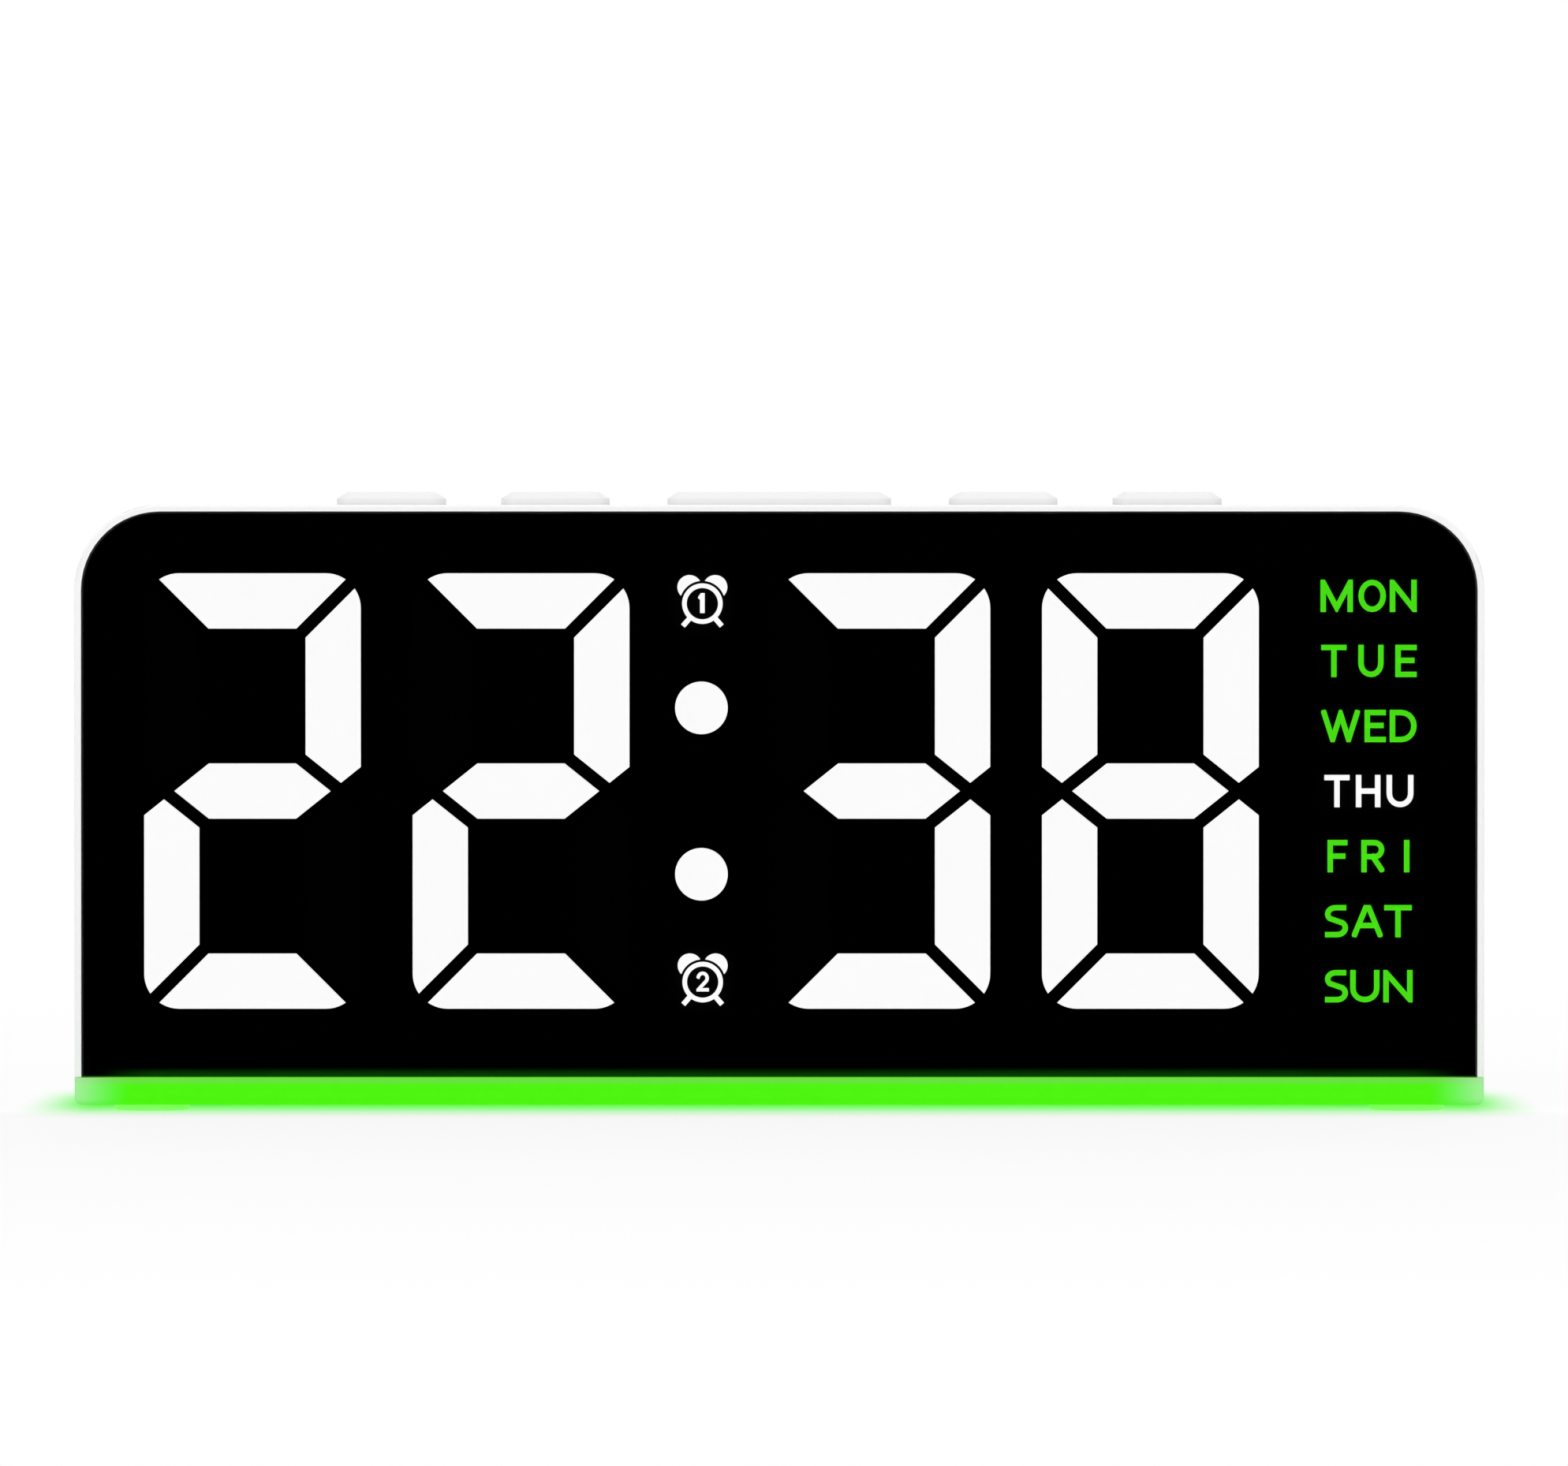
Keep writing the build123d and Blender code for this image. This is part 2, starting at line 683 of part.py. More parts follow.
# Back panel with the battery box
with BuildPart() as rear_cover:
    with BuildSketch(upright(cover_inside)):
        case_outline(0, case_bottom)
    extrude_back(cover_thickness)
    fillet(rear_cover.faces().sort_by(Axis.Y)[-1].edges(), rear_edge_round)
    with BuildSketch(upright(cover_inside)):
        case_outline(case_wall + cover_fit_gap, floor_top + cover_fit_gap)
        offset(amount=-cover_lip_wall, kind=Kind.INTERSECTION, mode=Mode.SUBTRACT)
    extrude(amount=cover_lip_depth)
    with BuildSketch(upright(cover_inside)):
        with Locations(*case_bosses):
            Circle(cover_post_radius)
    extrude(amount=cover_post_length)
    with BuildSketch(upright(case_boss_end)):
        with Locations(*case_bosses):
            Circle(clearance_hole_radius)
    extrude_back(back - case_boss_end, mode=Mode.SUBTRACT)
    with BuildSketch(upright(case_screw_seat)):
        with Locations(*case_bosses):
            Circle(head_hole_radius)
    extrude_back(back - case_screw_seat, mode=Mode.SUBTRACT)
    # Battery box, its cell ridges, contact slots and tongue slots, and the door opening
    with BuildSketch(upright(box_front)):
        with Locations((0, battery_middle)):
            Rectangle(2 * (box_half_width + battery_wall), 2 * (box_half_height + battery_wall))
    extrude_back(cover_inside - box_front)
    with BuildSketch(upright(box_inside)):
        with Locations((0, battery_middle)):
            Rectangle(2 * box_half_width, 2 * box_half_height)
    extrude_back(cover_inside - box_inside, mode=Mode.SUBTRACT)
    with BuildSketch(upright(cover_inside)):
        with Locations((0, battery_middle)):
            RectangleRounded(2 * door_hole_half_width, 2 * door_hole_half_height, door_corner_radius + door_gap)
    extrude_back(cover_thickness, mode=Mode.SUBTRACT)
    with BuildSketch(upright(box_inside)):
        with Locations(*[(0, z + cell_pitch / 2) for z in cell_heights[:-1]]):
            Rectangle(cell_length - 2 * leaf_length, ridge_width)
    extrude_back(ridge_height)
    for side, height in ((-1, cell_heights[-1]), (1, cell_heights[0])):
        with BuildSketch(upright(box_front)):
            with Locations((side * (box_half_width - contact_thickness / 2), height)):
                Rectangle(contact_thickness + 2 * tab_slot_gap, tab_width + 2 * tab_slot_gap)
        extrude_back(battery_wall, mode=Mode.SUBTRACT)
    slot_front = back - tongue_sweep - tongue_slot_gap
    slot_bottom = tongue_bottom - tongue_slot_gap
    slot_top = battery_middle - box_half_height
    with BuildSketch(upright(slot_front)):
        with Locations(*[(side * tongue_x, (slot_bottom + slot_top) / 2) for side in (-1, 1)]):
            Rectangle(tongue_width + 2 * tongue_slot_gap, slot_top - slot_bottom)
    extrude_back(cover_inside - slot_front, mode=Mode.SUBTRACT)
    # Sounder ring and grille
    with BuildSketch(upright(cover_inside)):
        with Locations((sounder_x, sounder_z)):
            Circle(sounder_radius + sounder_ring_gap + sounder_ring_wall)
            Circle(sounder_radius + sounder_ring_gap, mode=Mode.SUBTRACT)
    extrude(amount=sounder_ring_height)
    with BuildSketch(upright(cover_inside)):
        for i in range(grille_slot_count):
            rise = grille_slot_pitch * (i - (grille_slot_count - 1) / 2)
            with Locations((sounder_x, sounder_z + rise)):
                SlotOverall(2 * sqrt(grille_radius**2 - rise**2), grille_slot_width)
    extrude_back(cover_thickness, mode=Mode.SUBTRACT)
    # Supply socket: a plug recess outside and the socket's own hole
    with BuildSketch(upright(socket_mouth)):
        with Locations((socket_x, socket_z)):
            RectangleRounded(socket_recess_width, socket_recess_height, socket_recess_radius)
    extrude_back(socket_mouth_depth, mode=Mode.SUBTRACT)
    with BuildSketch(upright(cover_inside)):
        with Locations((socket_x, socket_z)):
            SlotOverall(socket_width + 2 * socket_hole_gap, socket_height + 2 * socket_hole_gap)
    extrude_back(cover_thickness, mode=Mode.SUBTRACT)
save(rear_cover.part, "rear_cover")

with BuildPart() as front_lens:
    with BuildSketch(upright(lens_front)):
        case_outline(rim_width + lens_gap, case_bottom + lens_gap)
    extrude_back(lens_thickness)
    chamfer(front_lens.faces().sort_by(Axis.Y)[0].edges(), lens_edge_chamfer)
save(front_lens.part, "front_lens")

with BuildPart() as display_mask:
    with BuildSketch(upright(mask_front)):
        case_outline(rim_width + lens_gap, case_bottom + lens_gap)
    extrude_back(mask_thickness)
    with BuildSketch(upright(mask_front)):
        for digit_x in digit_xs:
            digit_faces(digit_x)
        symbol_faces()
    extrude_back(mask_thickness, mode=Mode.SUBTRACT)
save(display_mask.part, "display_mask")

# Frame with one light shaft behind each window, notched round the display posts
with BuildPart() as reflector_frame:
    with BuildSketch(upright(ledge)):
        case_outline(case_wall + stack_side_gap, floor_top + stack_side_gap)
        with Locations(*display_posts):
            Circle(post_radius + notch_gap, mode=Mode.SUBTRACT)
    extrude_back(reflector_depth)
    with BuildSketch(upright(ledge)):
        for digit_x in digit_xs:
            digit_faces(digit_x)
        symbol_faces()
    extrude_back(reflector_depth, mode=Mode.SUBTRACT)
save(reflector_frame.part, "reflector_frame")

for number, digit_x in enumerate(digit_xs, 1):
    with BuildPart() as digit_segments:
        with BuildSketch(upright(ledge)):
            digit_faces(digit_x)
        extrude_back(segment_depth)
    save(digit_segments.part, f"digit_{number}_segments")

with BuildPart() as colon_dots:
    with BuildSketch(upright(ledge)):
        with Locations(*colon_places):
            Circle(colon_dot_radius)
    extrude_back(segment_depth)
save(colon_dots.part, "colon_dots")

with BuildPart() as alarm_windows:
    with BuildSketch(upright(ledge)):
        with Locations(*alarm_places):
            Circle(alarm_window_radius)
    extrude_back(segment_depth)
save(alarm_windows.part, "alarm_windows")

with BuildPart() as weekday_windows:
    with BuildSketch(upright(ledge)):
        with Locations(*weekday_places):
            Rectangle(weekday_window_width, weekday_window_height)
    extrude_back(segment_depth)
save(weekday_windows.part, "weekday_windows")

# Display board with its screw holes and pin holes
with BuildPart() as display_board:
    with BuildSketch(upright(board_front)):
        case_outline(case_wall + stack_side_gap, floor_top + stack_side_gap)
        with Locations(*display_posts):
            Circle(clearance_hole_radius, mode=Mode.SUBTRACT)
        for x, count, face, up in (
            (key_header_x, key_header_pins, key_board_bottom, -1),
            (socket_x, power_header_pins, power_board_top, 1),
            (light_header_x, light_header_pins, light_board_top, 1),
        ):
            with Locations(*[(pin_x, header_pin_height(face, up)) for pin_x in header_pins(x, count)]):
                Circle(pin_hole_radius, mode=Mode.SUBTRACT)
    extrude_back(board_thickness)
save(display_board.part, "display_board")

with BuildPart() as segment_leds:
    with BuildSketch(upright(board_front)):
        for digit_x in digit_xs:
            with Locations(*[(digit_x + x, case_middle + z) for x, z in segment_chip_places()]):
                Rectangle(chip_width, chip_height)
    extrude(amount=chip_thickness)
save(segment_leds.part, "segment_leds")

with BuildPart() as symbol_leds:
    with BuildSketch(upright(board_front)):
        with Locations(*(colon_places + alarm_places + weekday_places)):
            Rectangle(chip_width, chip_height)
    extrude(amount=chip_thickness)
save(symbol_leds.part, "symbol_leds")

with BuildPart() as controller_chip:
    with BuildSketch(upright(board_back)):
        with Locations((controller_x, case_middle + controller_rise)):
            Rectangle(controller_width, controller_height)
    extrude_back(controller_thickness)
    with BuildSketch(upright(board_back)):
        lead_z = (controller_height + controller_lead_reach) / 2
        for i in range(controller_lead_count):
            lead_x = controller_x + controller_lead_pitch * (i - (controller_lead_count - 1) / 2)
            middle_z = case_middle + controller_rise
            with Locations((lead_x, middle_z - lead_z), (lead_x, middle_z + lead_z)):
                Rectangle(controller_lead_width, controller_lead_reach)
    extrude_back(controller_lead_thickness)
save(controller_chip.part, "controller_chip")

with BuildPart() as clock_crystal:
    with BuildSketch(upright(board_back)):
        with Locations((crystal_x, case_middle + crystal_rise)):
            SlotOverall(crystal_width, crystal_height)
    extrude_back(crystal_base_thickness)
    with BuildSketch(upright(board_back)):
        with Locations((crystal_x, case_middle + crystal_rise)):
            SlotOverall(crystal_width - 2 * crystal_base_flange, crystal_height - 2 * crystal_base_flange)
    extrude_back(crystal_thickness)
save(clock_crystal.part, "clock_crystal")

with BuildPart() as supply_capacitor:
    with BuildSketch(upright(board_back)):
        with Locations((capacitor_x, case_middle + capacitor_rise)):
            Circle(capacitor_radius)
    extrude_back(capacitor_length)
    with BuildSketch(upright(board_back + capacitor_groove_width)):
        with Locations((capacitor_x, case_middle + capacitor_rise)):
            Circle(capacitor_radius)
            Circle(capacitor_radius - capacitor_groove_depth, mode=Mode.SUBTRACT)
    extrude_back(capacitor_groove_width, mode=Mode.SUBTRACT)
save(supply_capacitor.part, "supply_capacitor")

# Keys, with the switch and the plunger under each
for name, (x, width) in keys.items():
    with BuildPart() as key:
        with BuildSketch(Plane.XY.offset(flange_top)):
            with Locations((x, key_y)):
                RectangleRounded(width, key_depth, key_corner_radius)
        extrude(amount=case_top + key_rise - flange_top)
        key_face = key.faces().sort_by(Axis.Z)[-1]
        chamfer(key_face.edges(), key_bevel_width, key_bevel_height, reference=key_face)
        fillet(key.edges().group_by(Axis.Z)[-1], key_bevel_round)
        with BuildSketch(Plane.XY.offset(flange_bottom)):
            with Locations((x, key_y)):
                RectangleRounded(
                    width + 2 * key_flange_overlap, key_flange_depth, key_corner_radius + key_flange_overlap
                )
        extrude(amount=key_flange_thickness)
        with BuildSketch(Plane.XY.offset(stem_bottom)):
            with Locations((x, key_y)):
                Circle(key_stem_radius)
        extrude(amount=key_stem_length)
    save(key.part, f"{name}_button")

    with BuildPart() as plunger:
        with BuildSketch(Plane.XY.offset(switch_top - plunger_sunk_depth)):
            with Locations((x, key_y)):
                Circle(plunger_radius)
        extrude(amount=plunger_sunk_depth + plunger_rise)
    save(plunger.part, f"{name}_plunger")

    with BuildPart() as switch:
        with BuildSketch(Plane.XY.offset(key_board_top)):
            with Locations((x, key_y)):
                Rectangle(switch_side, switch_side)
        extrude(amount=switch_height)
        chamfer(switch.edges().group_by(Axis.Z)[-1], switch_edge_chamfer)
        with BuildSketch(Plane.XY.offset(switch_top)):
            with Locations((x, key_y)):
                Circle(plunger_radius + plunger_fit_gap)
        extrude(amount=-(plunger_sunk_depth + key_travel + plunger_bottom_gap), mode=Mode.SUBTRACT)
    save(switch.part, f"{name}_switch")

with BuildPart() as key_board:
    with BuildSketch(Plane.XY.offset(key_board_bottom)):
        with Locations((0, (key_board_front + key_board_rear) / 2)):
            Rectangle(2 * key_board_half_width, key_board_rear - key_board_front)
        with Locations(*key_posts):
            Circle(clearance_hole_radius, mode=Mode.SUBTRACT)
        leg_y = key_board_front + header_depth / 2
        with Locations(*[(pin_x, leg_y) for pin_x in header_pins(key_header_x, key_header_pins)]):
            Circle(pin_hole_radius, mode=Mode.SUBTRACT)
    extrude(amount=key_board_thickness)
save(key_board.part, "key_board")

key_header = make_header(
    key_header_x, key_header_pins, key_board_front, key_board_bottom, -1, key_board_thickness + pin_end_length
)
save(key_header, "key_header")

# Power board with its socket
with BuildPart() as power_board:
    with BuildSketch(Plane.XY.offset(power_board_bottom)):
        with Locations((socket_x, (power_board_front + power_board_rear) / 2)):
            Rectangle(power_board_width, power_board_rear - power_board_front)
        with Locations(*power_posts):
            Circle(clearance_hole_radius, mode=Mode.SUBTRACT)
        leg_y = power_board_front + header_depth / 2
        with Locations(*[(pin_x, leg_y) for pin_x in header_pins(socket_x, power_header_pins)]):
            Circle(pin_hole_radius, mode=Mode.SUBTRACT)
    extrude(amount=power_board_thickness)
save(power_board.part, "power_board")

power_header = make_header(
    socket_x, power_header_pins, power_board_front, power_board_top, 1, power_board_thickness + pin_end_length
)
save(power_header, "power_header")

with BuildPart() as usb_socket:
    with BuildSketch(upright(socket_mouth)):
        with Locations((socket_x, socket_z)):
            SlotOverall(socket_width, socket_height)
    extrude(amount=socket_length)
    with BuildSketch(upright(socket_mouth)):
        with Locations((socket_x, socket_z)):
            SlotOverall(socket_width - 2 * socket_wall, socket_height - 2 * socket_wall)
    extrude(amount=socket_length - socket_wall, mode=Mode.SUBTRACT)
save(usb_socket.part, "usb_socket")

socket_inner_end = socket_mouth - socket_length + socket_wall
with BuildPart() as usb_tongue:
    with BuildSketch(upright(socket_inner_end)):
        with Locations((socket_x, socket_z)):
            inset = 2 * (socket_wall + contact_base_gap)
            SlotOverall(socket_width - inset, socket_height - inset)
    extrude_back(contact_base_length)
    with BuildSketch(upright(socket_inner_end + contact_base_length)):
        with Locations((socket_x, socket_z)):
            Rectangle(contact_blade_width, contact_blade_thickness)
    extrude_back(contact_blade_length)
save(usb_tongue.part, "usb_tongue")

# Light strip: a board on the case floor with its lamps in the floor's windows
with BuildPart() as light_board:
    with BuildSketch(Plane.XY.offset(floor_top)):
        with Locations((0, lamp_y)):
            Rectangle(2 * light_board_half_width, light_board_width)
        with Locations(*[(x, lamp_y) for x in stake_xs]):
            Circle(stake_radius + stake_gap, mode=Mode.SUBTRACT)
        leg_y = light_board_front + header_depth / 2
        with Locations(*[(pin_x, leg_y) for pin_x in header_pins(light_header_x, light_header_pins)]):
            Circle(pin_hole_radius, mode=Mode.SUBTRACT)
    extrude(amount=light_board_thickness)
save(light_board.part, "light_board")

light_header = make_header(
    light_header_x, light_header_pins, light_board_front, light_board_top, 1, light_board_thickness
)
save(light_header, "light_header")

with BuildPart() as light_leds:
    with BuildSketch(Plane.XY.offset(floor_top)):
        with Locations(*[(x, lamp_y) for x in lamp_xs]):
            Rectangle(lamp_side, lamp_side)
    extrude(amount=-lamp_height)
save(light_leds.part, "light_leds")

# Frosted base plate, which spreads the lamps' light
with BuildPart() as base_diffuser:
    with BuildSketch(Plane.XY.offset(base_bottom)):
        RectangleRounded(case_width, case_depth, base_corner_radius)
    extrude(amount=base_thickness)
    fillet(base_diffuser.faces().sort_by(Axis.Z)[0].edges(), base_edge_round)
    with BuildSketch(Plane.XY.offset(case_bottom)):
        with Locations((0, lamp_y)):
            Rectangle(2 * light_board_half_width, light_groove_width)
    extrude(amount=-light_groove_depth, mode=Mode.SUBTRACT)
    with BuildSketch(Plane.XY.offset(base_bottom)):
        with Locations(*[(x_side * foot_x, y_side * foot_y) for x_side in (-1, 1) for y_side in (-1, 1)]):
            Circle(foot_radius + foot_gap)
    extrude(amount=foot_sunk_depth, mode=Mode.SUBTRACT)
    with BuildSketch(Plane.XY.offset(base_bottom)):
        with Locations(*base_screws):
            Circle(clearance_hole_radius)
    extrude(amount=base_thickness, mode=Mode.SUBTRACT)
    with BuildSketch(Plane.XY.offset(base_bottom)):
        with Locations(*base_screws):
            Circle(head_hole_radius)
    extrude(amount=base_screw_seat - base_bottom, mode=Mode.SUBTRACT)
save(base_diffuser.part, "base_diffuser")

with BuildPart() as feet:
    with Locations(*[(x_side * foot_x, y_side * foot_y, 0) for x_side in (-1, 1) for y_side in (-1, 1)]):
        Cylinder(foot_radius, foot_thickness, align=(Align.CENTER, Align.CENTER, Align.MIN))
    fillet(feet.edges().group_by(Axis.Z)[0], foot_edge_round)
save(feet.part, "feet")

# Battery door: it turns out about its lower outer edge, where its tongues hold it
door_half_width = door_hole_half_width - door_gap
door_half_height = door_hole_half_height - door_gap
with BuildPart() as battery_door:
    with BuildSketch(upright(door_inside)):
        with Locations((0, battery_middle)):
            RectangleRounded(2 * door_half_width, 2 * door_half_height, door_corner_radius)
        latch_z = battery_middle + door_half_height - latch_height / 2
        slot_x = (latch_width + latch_slot_width) / 2
        with Locations((-slot_x, latch_z), (slot_x, latch_z)):
            Rectangle(latch_slot_width, latch_height, mode=Mode.SUBTRACT)
    extrude_back(door_thickness)
    with BuildSketch(upright(back - grip_groove_depth)):
        for i in range(grip_groove_count):
            groove_z = latch_z + grip_groove_pitch * (i - (grip_groove_count - 1) / 2)
            with Locations((0, groove_z)):
                Rectangle(latch_width, grip_groove_width)
    extrude_back(grip_groove_depth, mode=Mode.SUBTRACT)
    tongue_top = door_bottom + tongue_root_height
    with BuildSketch(upright(tongue_front)):
        with Locations(*[(side * tongue_x, (tongue_bottom + tongue_top) / 2) for side in (-1, 1)]):
            Rectangle(tongue_width, tongue_top - tongue_bottom)
    extrude_back(tongue_thickness)
    with BuildSketch(upright(tongue_front)):
        with Locations(*[(side * tongue_x, (door_bottom + tongue_top) / 2) for side in (-1, 1)]):
            Rectangle(tongue_width, tongue_root_height)
    extrude_back(door_inside - tongue_front)
save(battery_door.part, "battery_door")

# Cells, each turned the other way from its neighbour
for number, height in enumerate(reversed(cell_heights), 1):
    nub_side = 1 if number % 2 else -1
    with BuildPart() as cell:
        with BuildSketch(Plane.YZ.offset(-nub_side * cell_length / 2)):
            with Locations((cell_y, height)):
                Circle(cell_radius)
        extrude(amount=nub_side * (cell_length - cell_nub_length))
        fillet(cell.edges().filter_by(GeomType.CIRCLE), cell_edge_round)
        with BuildSketch(Plane.YZ.offset(nub_side * cell_length / 2)):
            with Locations((cell_y, height)):
                Circle(cell_nub_radius)
        extrude(amount=-nub_side * cell_nub_length)
    save(cell.part, f"battery_{number}")

# Stamped contacts: a plate at the box's end wall, a bent leaf for each cell, a solder tab on the two end ones
contact_groups = [
    (-1, cell_heights[-1:], cell_heights[-1]),
    (-1, cell_heights[:-1], None),
    (1, cell_heights[1:], None),
    (1, cell_heights[:1], cell_heights[0]),
]
plate_inside = box_half_width - contact_thickness
leaf_peak = cell_length / 2 + leaf_cell_gap
tab_end = box_front - tab_reach
with BuildPart() as battery_contacts:
    for side, heights, tab_height in contact_groups:
        with BuildSketch(upright(cell_y - contact_side / 2)):
            with Locations((side * (box_half_width + plate_inside) / 2, (heights[0] + heights[-1]) / 2)):
                Rectangle(contact_thickness, heights[-1] - heights[0] + contact_side)
        extrude_back(contact_side)
        for height in heights:
            with BuildSketch(upright(cell_y - leaf_width / 2)):
                with BuildLine():
                    Polyline(
                        (side * plate_inside, height - leaf_length / 2),
                        (side * leaf_peak, height - leaf_crest / 2),
                        (side * leaf_peak, height + leaf_crest / 2),
                        (side * plate_inside, height + leaf_length / 2),
                        (side * plate_inside, height + leaf_length / 2 - 2 * leaf_thickness),
                        (side * (leaf_peak + leaf_thickness), height + leaf_crest / 2 - leaf_thickness / 2),
                        (side * (leaf_peak + leaf_thickness), height - leaf_crest / 2 + leaf_thickness / 2),
                        (side * plate_inside, height - leaf_length / 2 + 2 * leaf_thickness),
                        close=True,
                    )
                make_face()
            extrude_back(leaf_width)
        if tab_height is not None:
            with BuildSketch(upright(tab_end)):
                with Locations((side * (box_half_width + plate_inside) / 2, tab_height)):
                    Rectangle(contact_thickness, tab_width)
            extrude_back(cell_y - contact_side / 2 - tab_end)
save(battery_contacts.part, "battery_contacts")

battery_wire_runs = []
for side, height in ((-1, cell_heights[-1]), (1, cell_heights[0])):
    tab_x = side * (box_half_width - contact_thickness / 2)
    battery_wire_runs.append(
        run_wire(
            (tab_x, tab_end, height),
            (tab_x + side * battery_wire_jog, board_back, height - battery_wire_jog),
        )
    )
with BuildPart() as battery_wires:
    add(battery_wire_runs)
save(battery_wires.part, "battery_wires")

# Sounder behind the grille
with BuildPart() as sounder:
    with BuildSketch(upright(sounder_front)):
        with Locations((sounder_x, sounder_z)):
            Circle(sounder_radius)
    extrude_back(sounder_thickness)
    fillet(sounder.edges().group_by(Axis.Y)[0], sounder_edge_round)
    with BuildSketch(upright(cover_inside - sounder_hole_depth)):
        with Locations((sounder_x, sounder_z)):
            Circle(sounder_hole_radius)
    extrude_back(sounder_hole_depth, mode=Mode.SUBTRACT)
save(sounder.part, "sounder")

sounder_wire_runs = []
for side in (-1, 1):
    wire_x = sounder_x + side * sounder_wire_spread / 2
    sounder_wire_runs.append(
        run_wire(
            (wire_x, sounder_front, sounder_z),
            (wire_x + sounder_wire_jog, board_back, sounder_z - sounder_wire_jog),
        )
    )
with BuildPart() as sounder_wires:
    add(sounder_wire_runs)
save(sounder_wires.part, "sounder_wires")

case_screw = make_screw(case_screw_length)
with BuildPart() as case_screws:
    with Locations(*[Location((x, case_screw_seat, z), facing_back) for x, z in case_bosses]):
        add(case_screw)
save(case_screws.part, "case_screws")

board_screw = make_screw(board_screw_length)
board_screw_places = [Location((x, board_back, z), facing_back) for x, z in display_posts]
board_screw_places += [Location((x, y, key_board_bottom), facing_down) for x, y in key_posts]
board_screw_places += [Location((x, y, power_board_top)) for x, y in power_posts]
with BuildPart() as board_screws:
    with Locations(*board_screw_places):
        add(board_screw)
save(board_screws.part, "board_screws")

base_screw = make_screw(base_screw_length)
with BuildPart() as base_screw_group:
    with Locations(*[Location((x, y, base_screw_seat), facing_down) for x, y in base_screws]):
        add(base_screw)
save(base_screw_group.part, "base_screws")
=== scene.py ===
# %% [markdown]
# # A digital alarm clock with a light bar
#
# The clock has a white case, a black display with large lit digits, weekday names on the right, five low
# keys on top and a frosted plate underneath that glows green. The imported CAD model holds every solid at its
# real size. This lesson dresses it: the pieces that need more than a solid are modelled with bmesh, and
# every surface gets a procedural finish, so that nothing depends on image files.

import math

import bmesh
import bpy
from mathutils import Matrix, Vector


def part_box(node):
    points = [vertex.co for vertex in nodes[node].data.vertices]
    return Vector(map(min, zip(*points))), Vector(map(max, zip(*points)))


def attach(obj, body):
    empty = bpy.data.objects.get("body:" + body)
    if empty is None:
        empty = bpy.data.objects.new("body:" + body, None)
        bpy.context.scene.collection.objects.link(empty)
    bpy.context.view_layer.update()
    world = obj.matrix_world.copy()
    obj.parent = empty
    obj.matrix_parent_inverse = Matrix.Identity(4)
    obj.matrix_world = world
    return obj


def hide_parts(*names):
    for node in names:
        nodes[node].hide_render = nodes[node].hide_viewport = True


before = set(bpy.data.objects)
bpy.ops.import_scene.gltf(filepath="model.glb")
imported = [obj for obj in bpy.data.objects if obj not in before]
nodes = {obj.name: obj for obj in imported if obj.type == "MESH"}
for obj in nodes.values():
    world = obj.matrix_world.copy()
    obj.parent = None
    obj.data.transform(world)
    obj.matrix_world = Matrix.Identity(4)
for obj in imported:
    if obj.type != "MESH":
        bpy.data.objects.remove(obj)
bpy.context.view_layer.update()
mm = 0.001


# %% [markdown]
# ## The camera
#
# The photograph looks straight at the display from far away, level with the top of the case: no top face
# shows and the display's sides stay parallel. A long lens one and a half metres away does the same. The
# picture's scale is known from the case's width, so the width of the view gives the focal length, and the
# camera turns a little down to put the clock where it stands in the picture. A lens shift would do that too,
# but it would stay on in every other view of the clock, so it is left at zero.

# %% Camera
picture_width = 1988
picture_height = 1859
pixels_per_mm = 11.92
case_middle_column = 988
floor_row = 1410
camera_distance = 1500 * mm
camera_height = 62 * mm


def add_looking(name, data, place, target):
    """Put a camera or a lamp into the scene, turned towards a target."""
    holder = bpy.data.objects.new(name, data)
    holder.location = place
    holder.rotation_euler = (target - place).to_track_quat("-Z", "Y").to_euler()
    bpy.context.scene.collection.objects.link(holder)
    return holder


display_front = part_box("front_housing")[0].y
pixel = mm / pixels_per_mm
aim_x = (picture_width / 2 - case_middle_column) * pixel
aim_z = (floor_row - picture_height / 2) * pixel
aim = Vector((aim_x, display_front, aim_z))
camera_place = Vector((aim_x, display_front - camera_distance, camera_height))
camera_lens = bpy.data.cameras.new("camera")
camera_lens.lens = camera_lens.sensor_width * (aim - camera_place).length / (picture_width * pixel)
bpy.context.scene.camera = add_looking("camera", camera_lens, camera_place, aim)
bpy.context.scene.view_settings.view_transform = "Standard"
print("Focal length:", round(camera_lens.lens, 1), "mm")

# %% [markdown]
# ## Helpers for node trees
#
# A procedural finish is a small program made of nodes. Written out one by one, most lines would only create
# a node and plug it in, so helpers do that. Two of them feed sockets with links or plain values, one adds
# any node with its settings, and the others add the nodes that almost every finish here needs.

# %% Node helpers
def feed(tree, value, socket):
    """Plug another node's output into a socket, or set its plain value."""
    if isinstance(value, bpy.types.NodeSocket):
        tree.links.new(value, socket)
    else:
        socket.default_value = value


def feed_inputs(tree, node, inputs):
    """Feed several sockets of a node, each by its name or number."""
    for key, value in inputs.items():
        feed(tree, value, node.inputs[key])


def add_node(tree, kind, inputs, **settings):
    """Add a node, make its settings, and feed its sockets."""
    node = tree.nodes.new(f"ShaderNode{kind}")
    for name, value in settings.items():
        setattr(node, name, value)
    feed_inputs(tree, node, inputs)
    return node


def calculate(tree, operation, *values, clamp=False):
    """Add a Math node and return its result."""
    node = add_node(tree, "Math", dict(enumerate(values)), operation=operation, use_clamp=clamp)
    return node.outputs["Value"]


def mix_colors(tree, factor, first, second):
    """Add a colour Mix node: the first colour at 0, the second at 1."""
    return add_node(tree, "Mix", {0: factor, 6: first, 7: second}, data_type="RGBA").outputs[2]


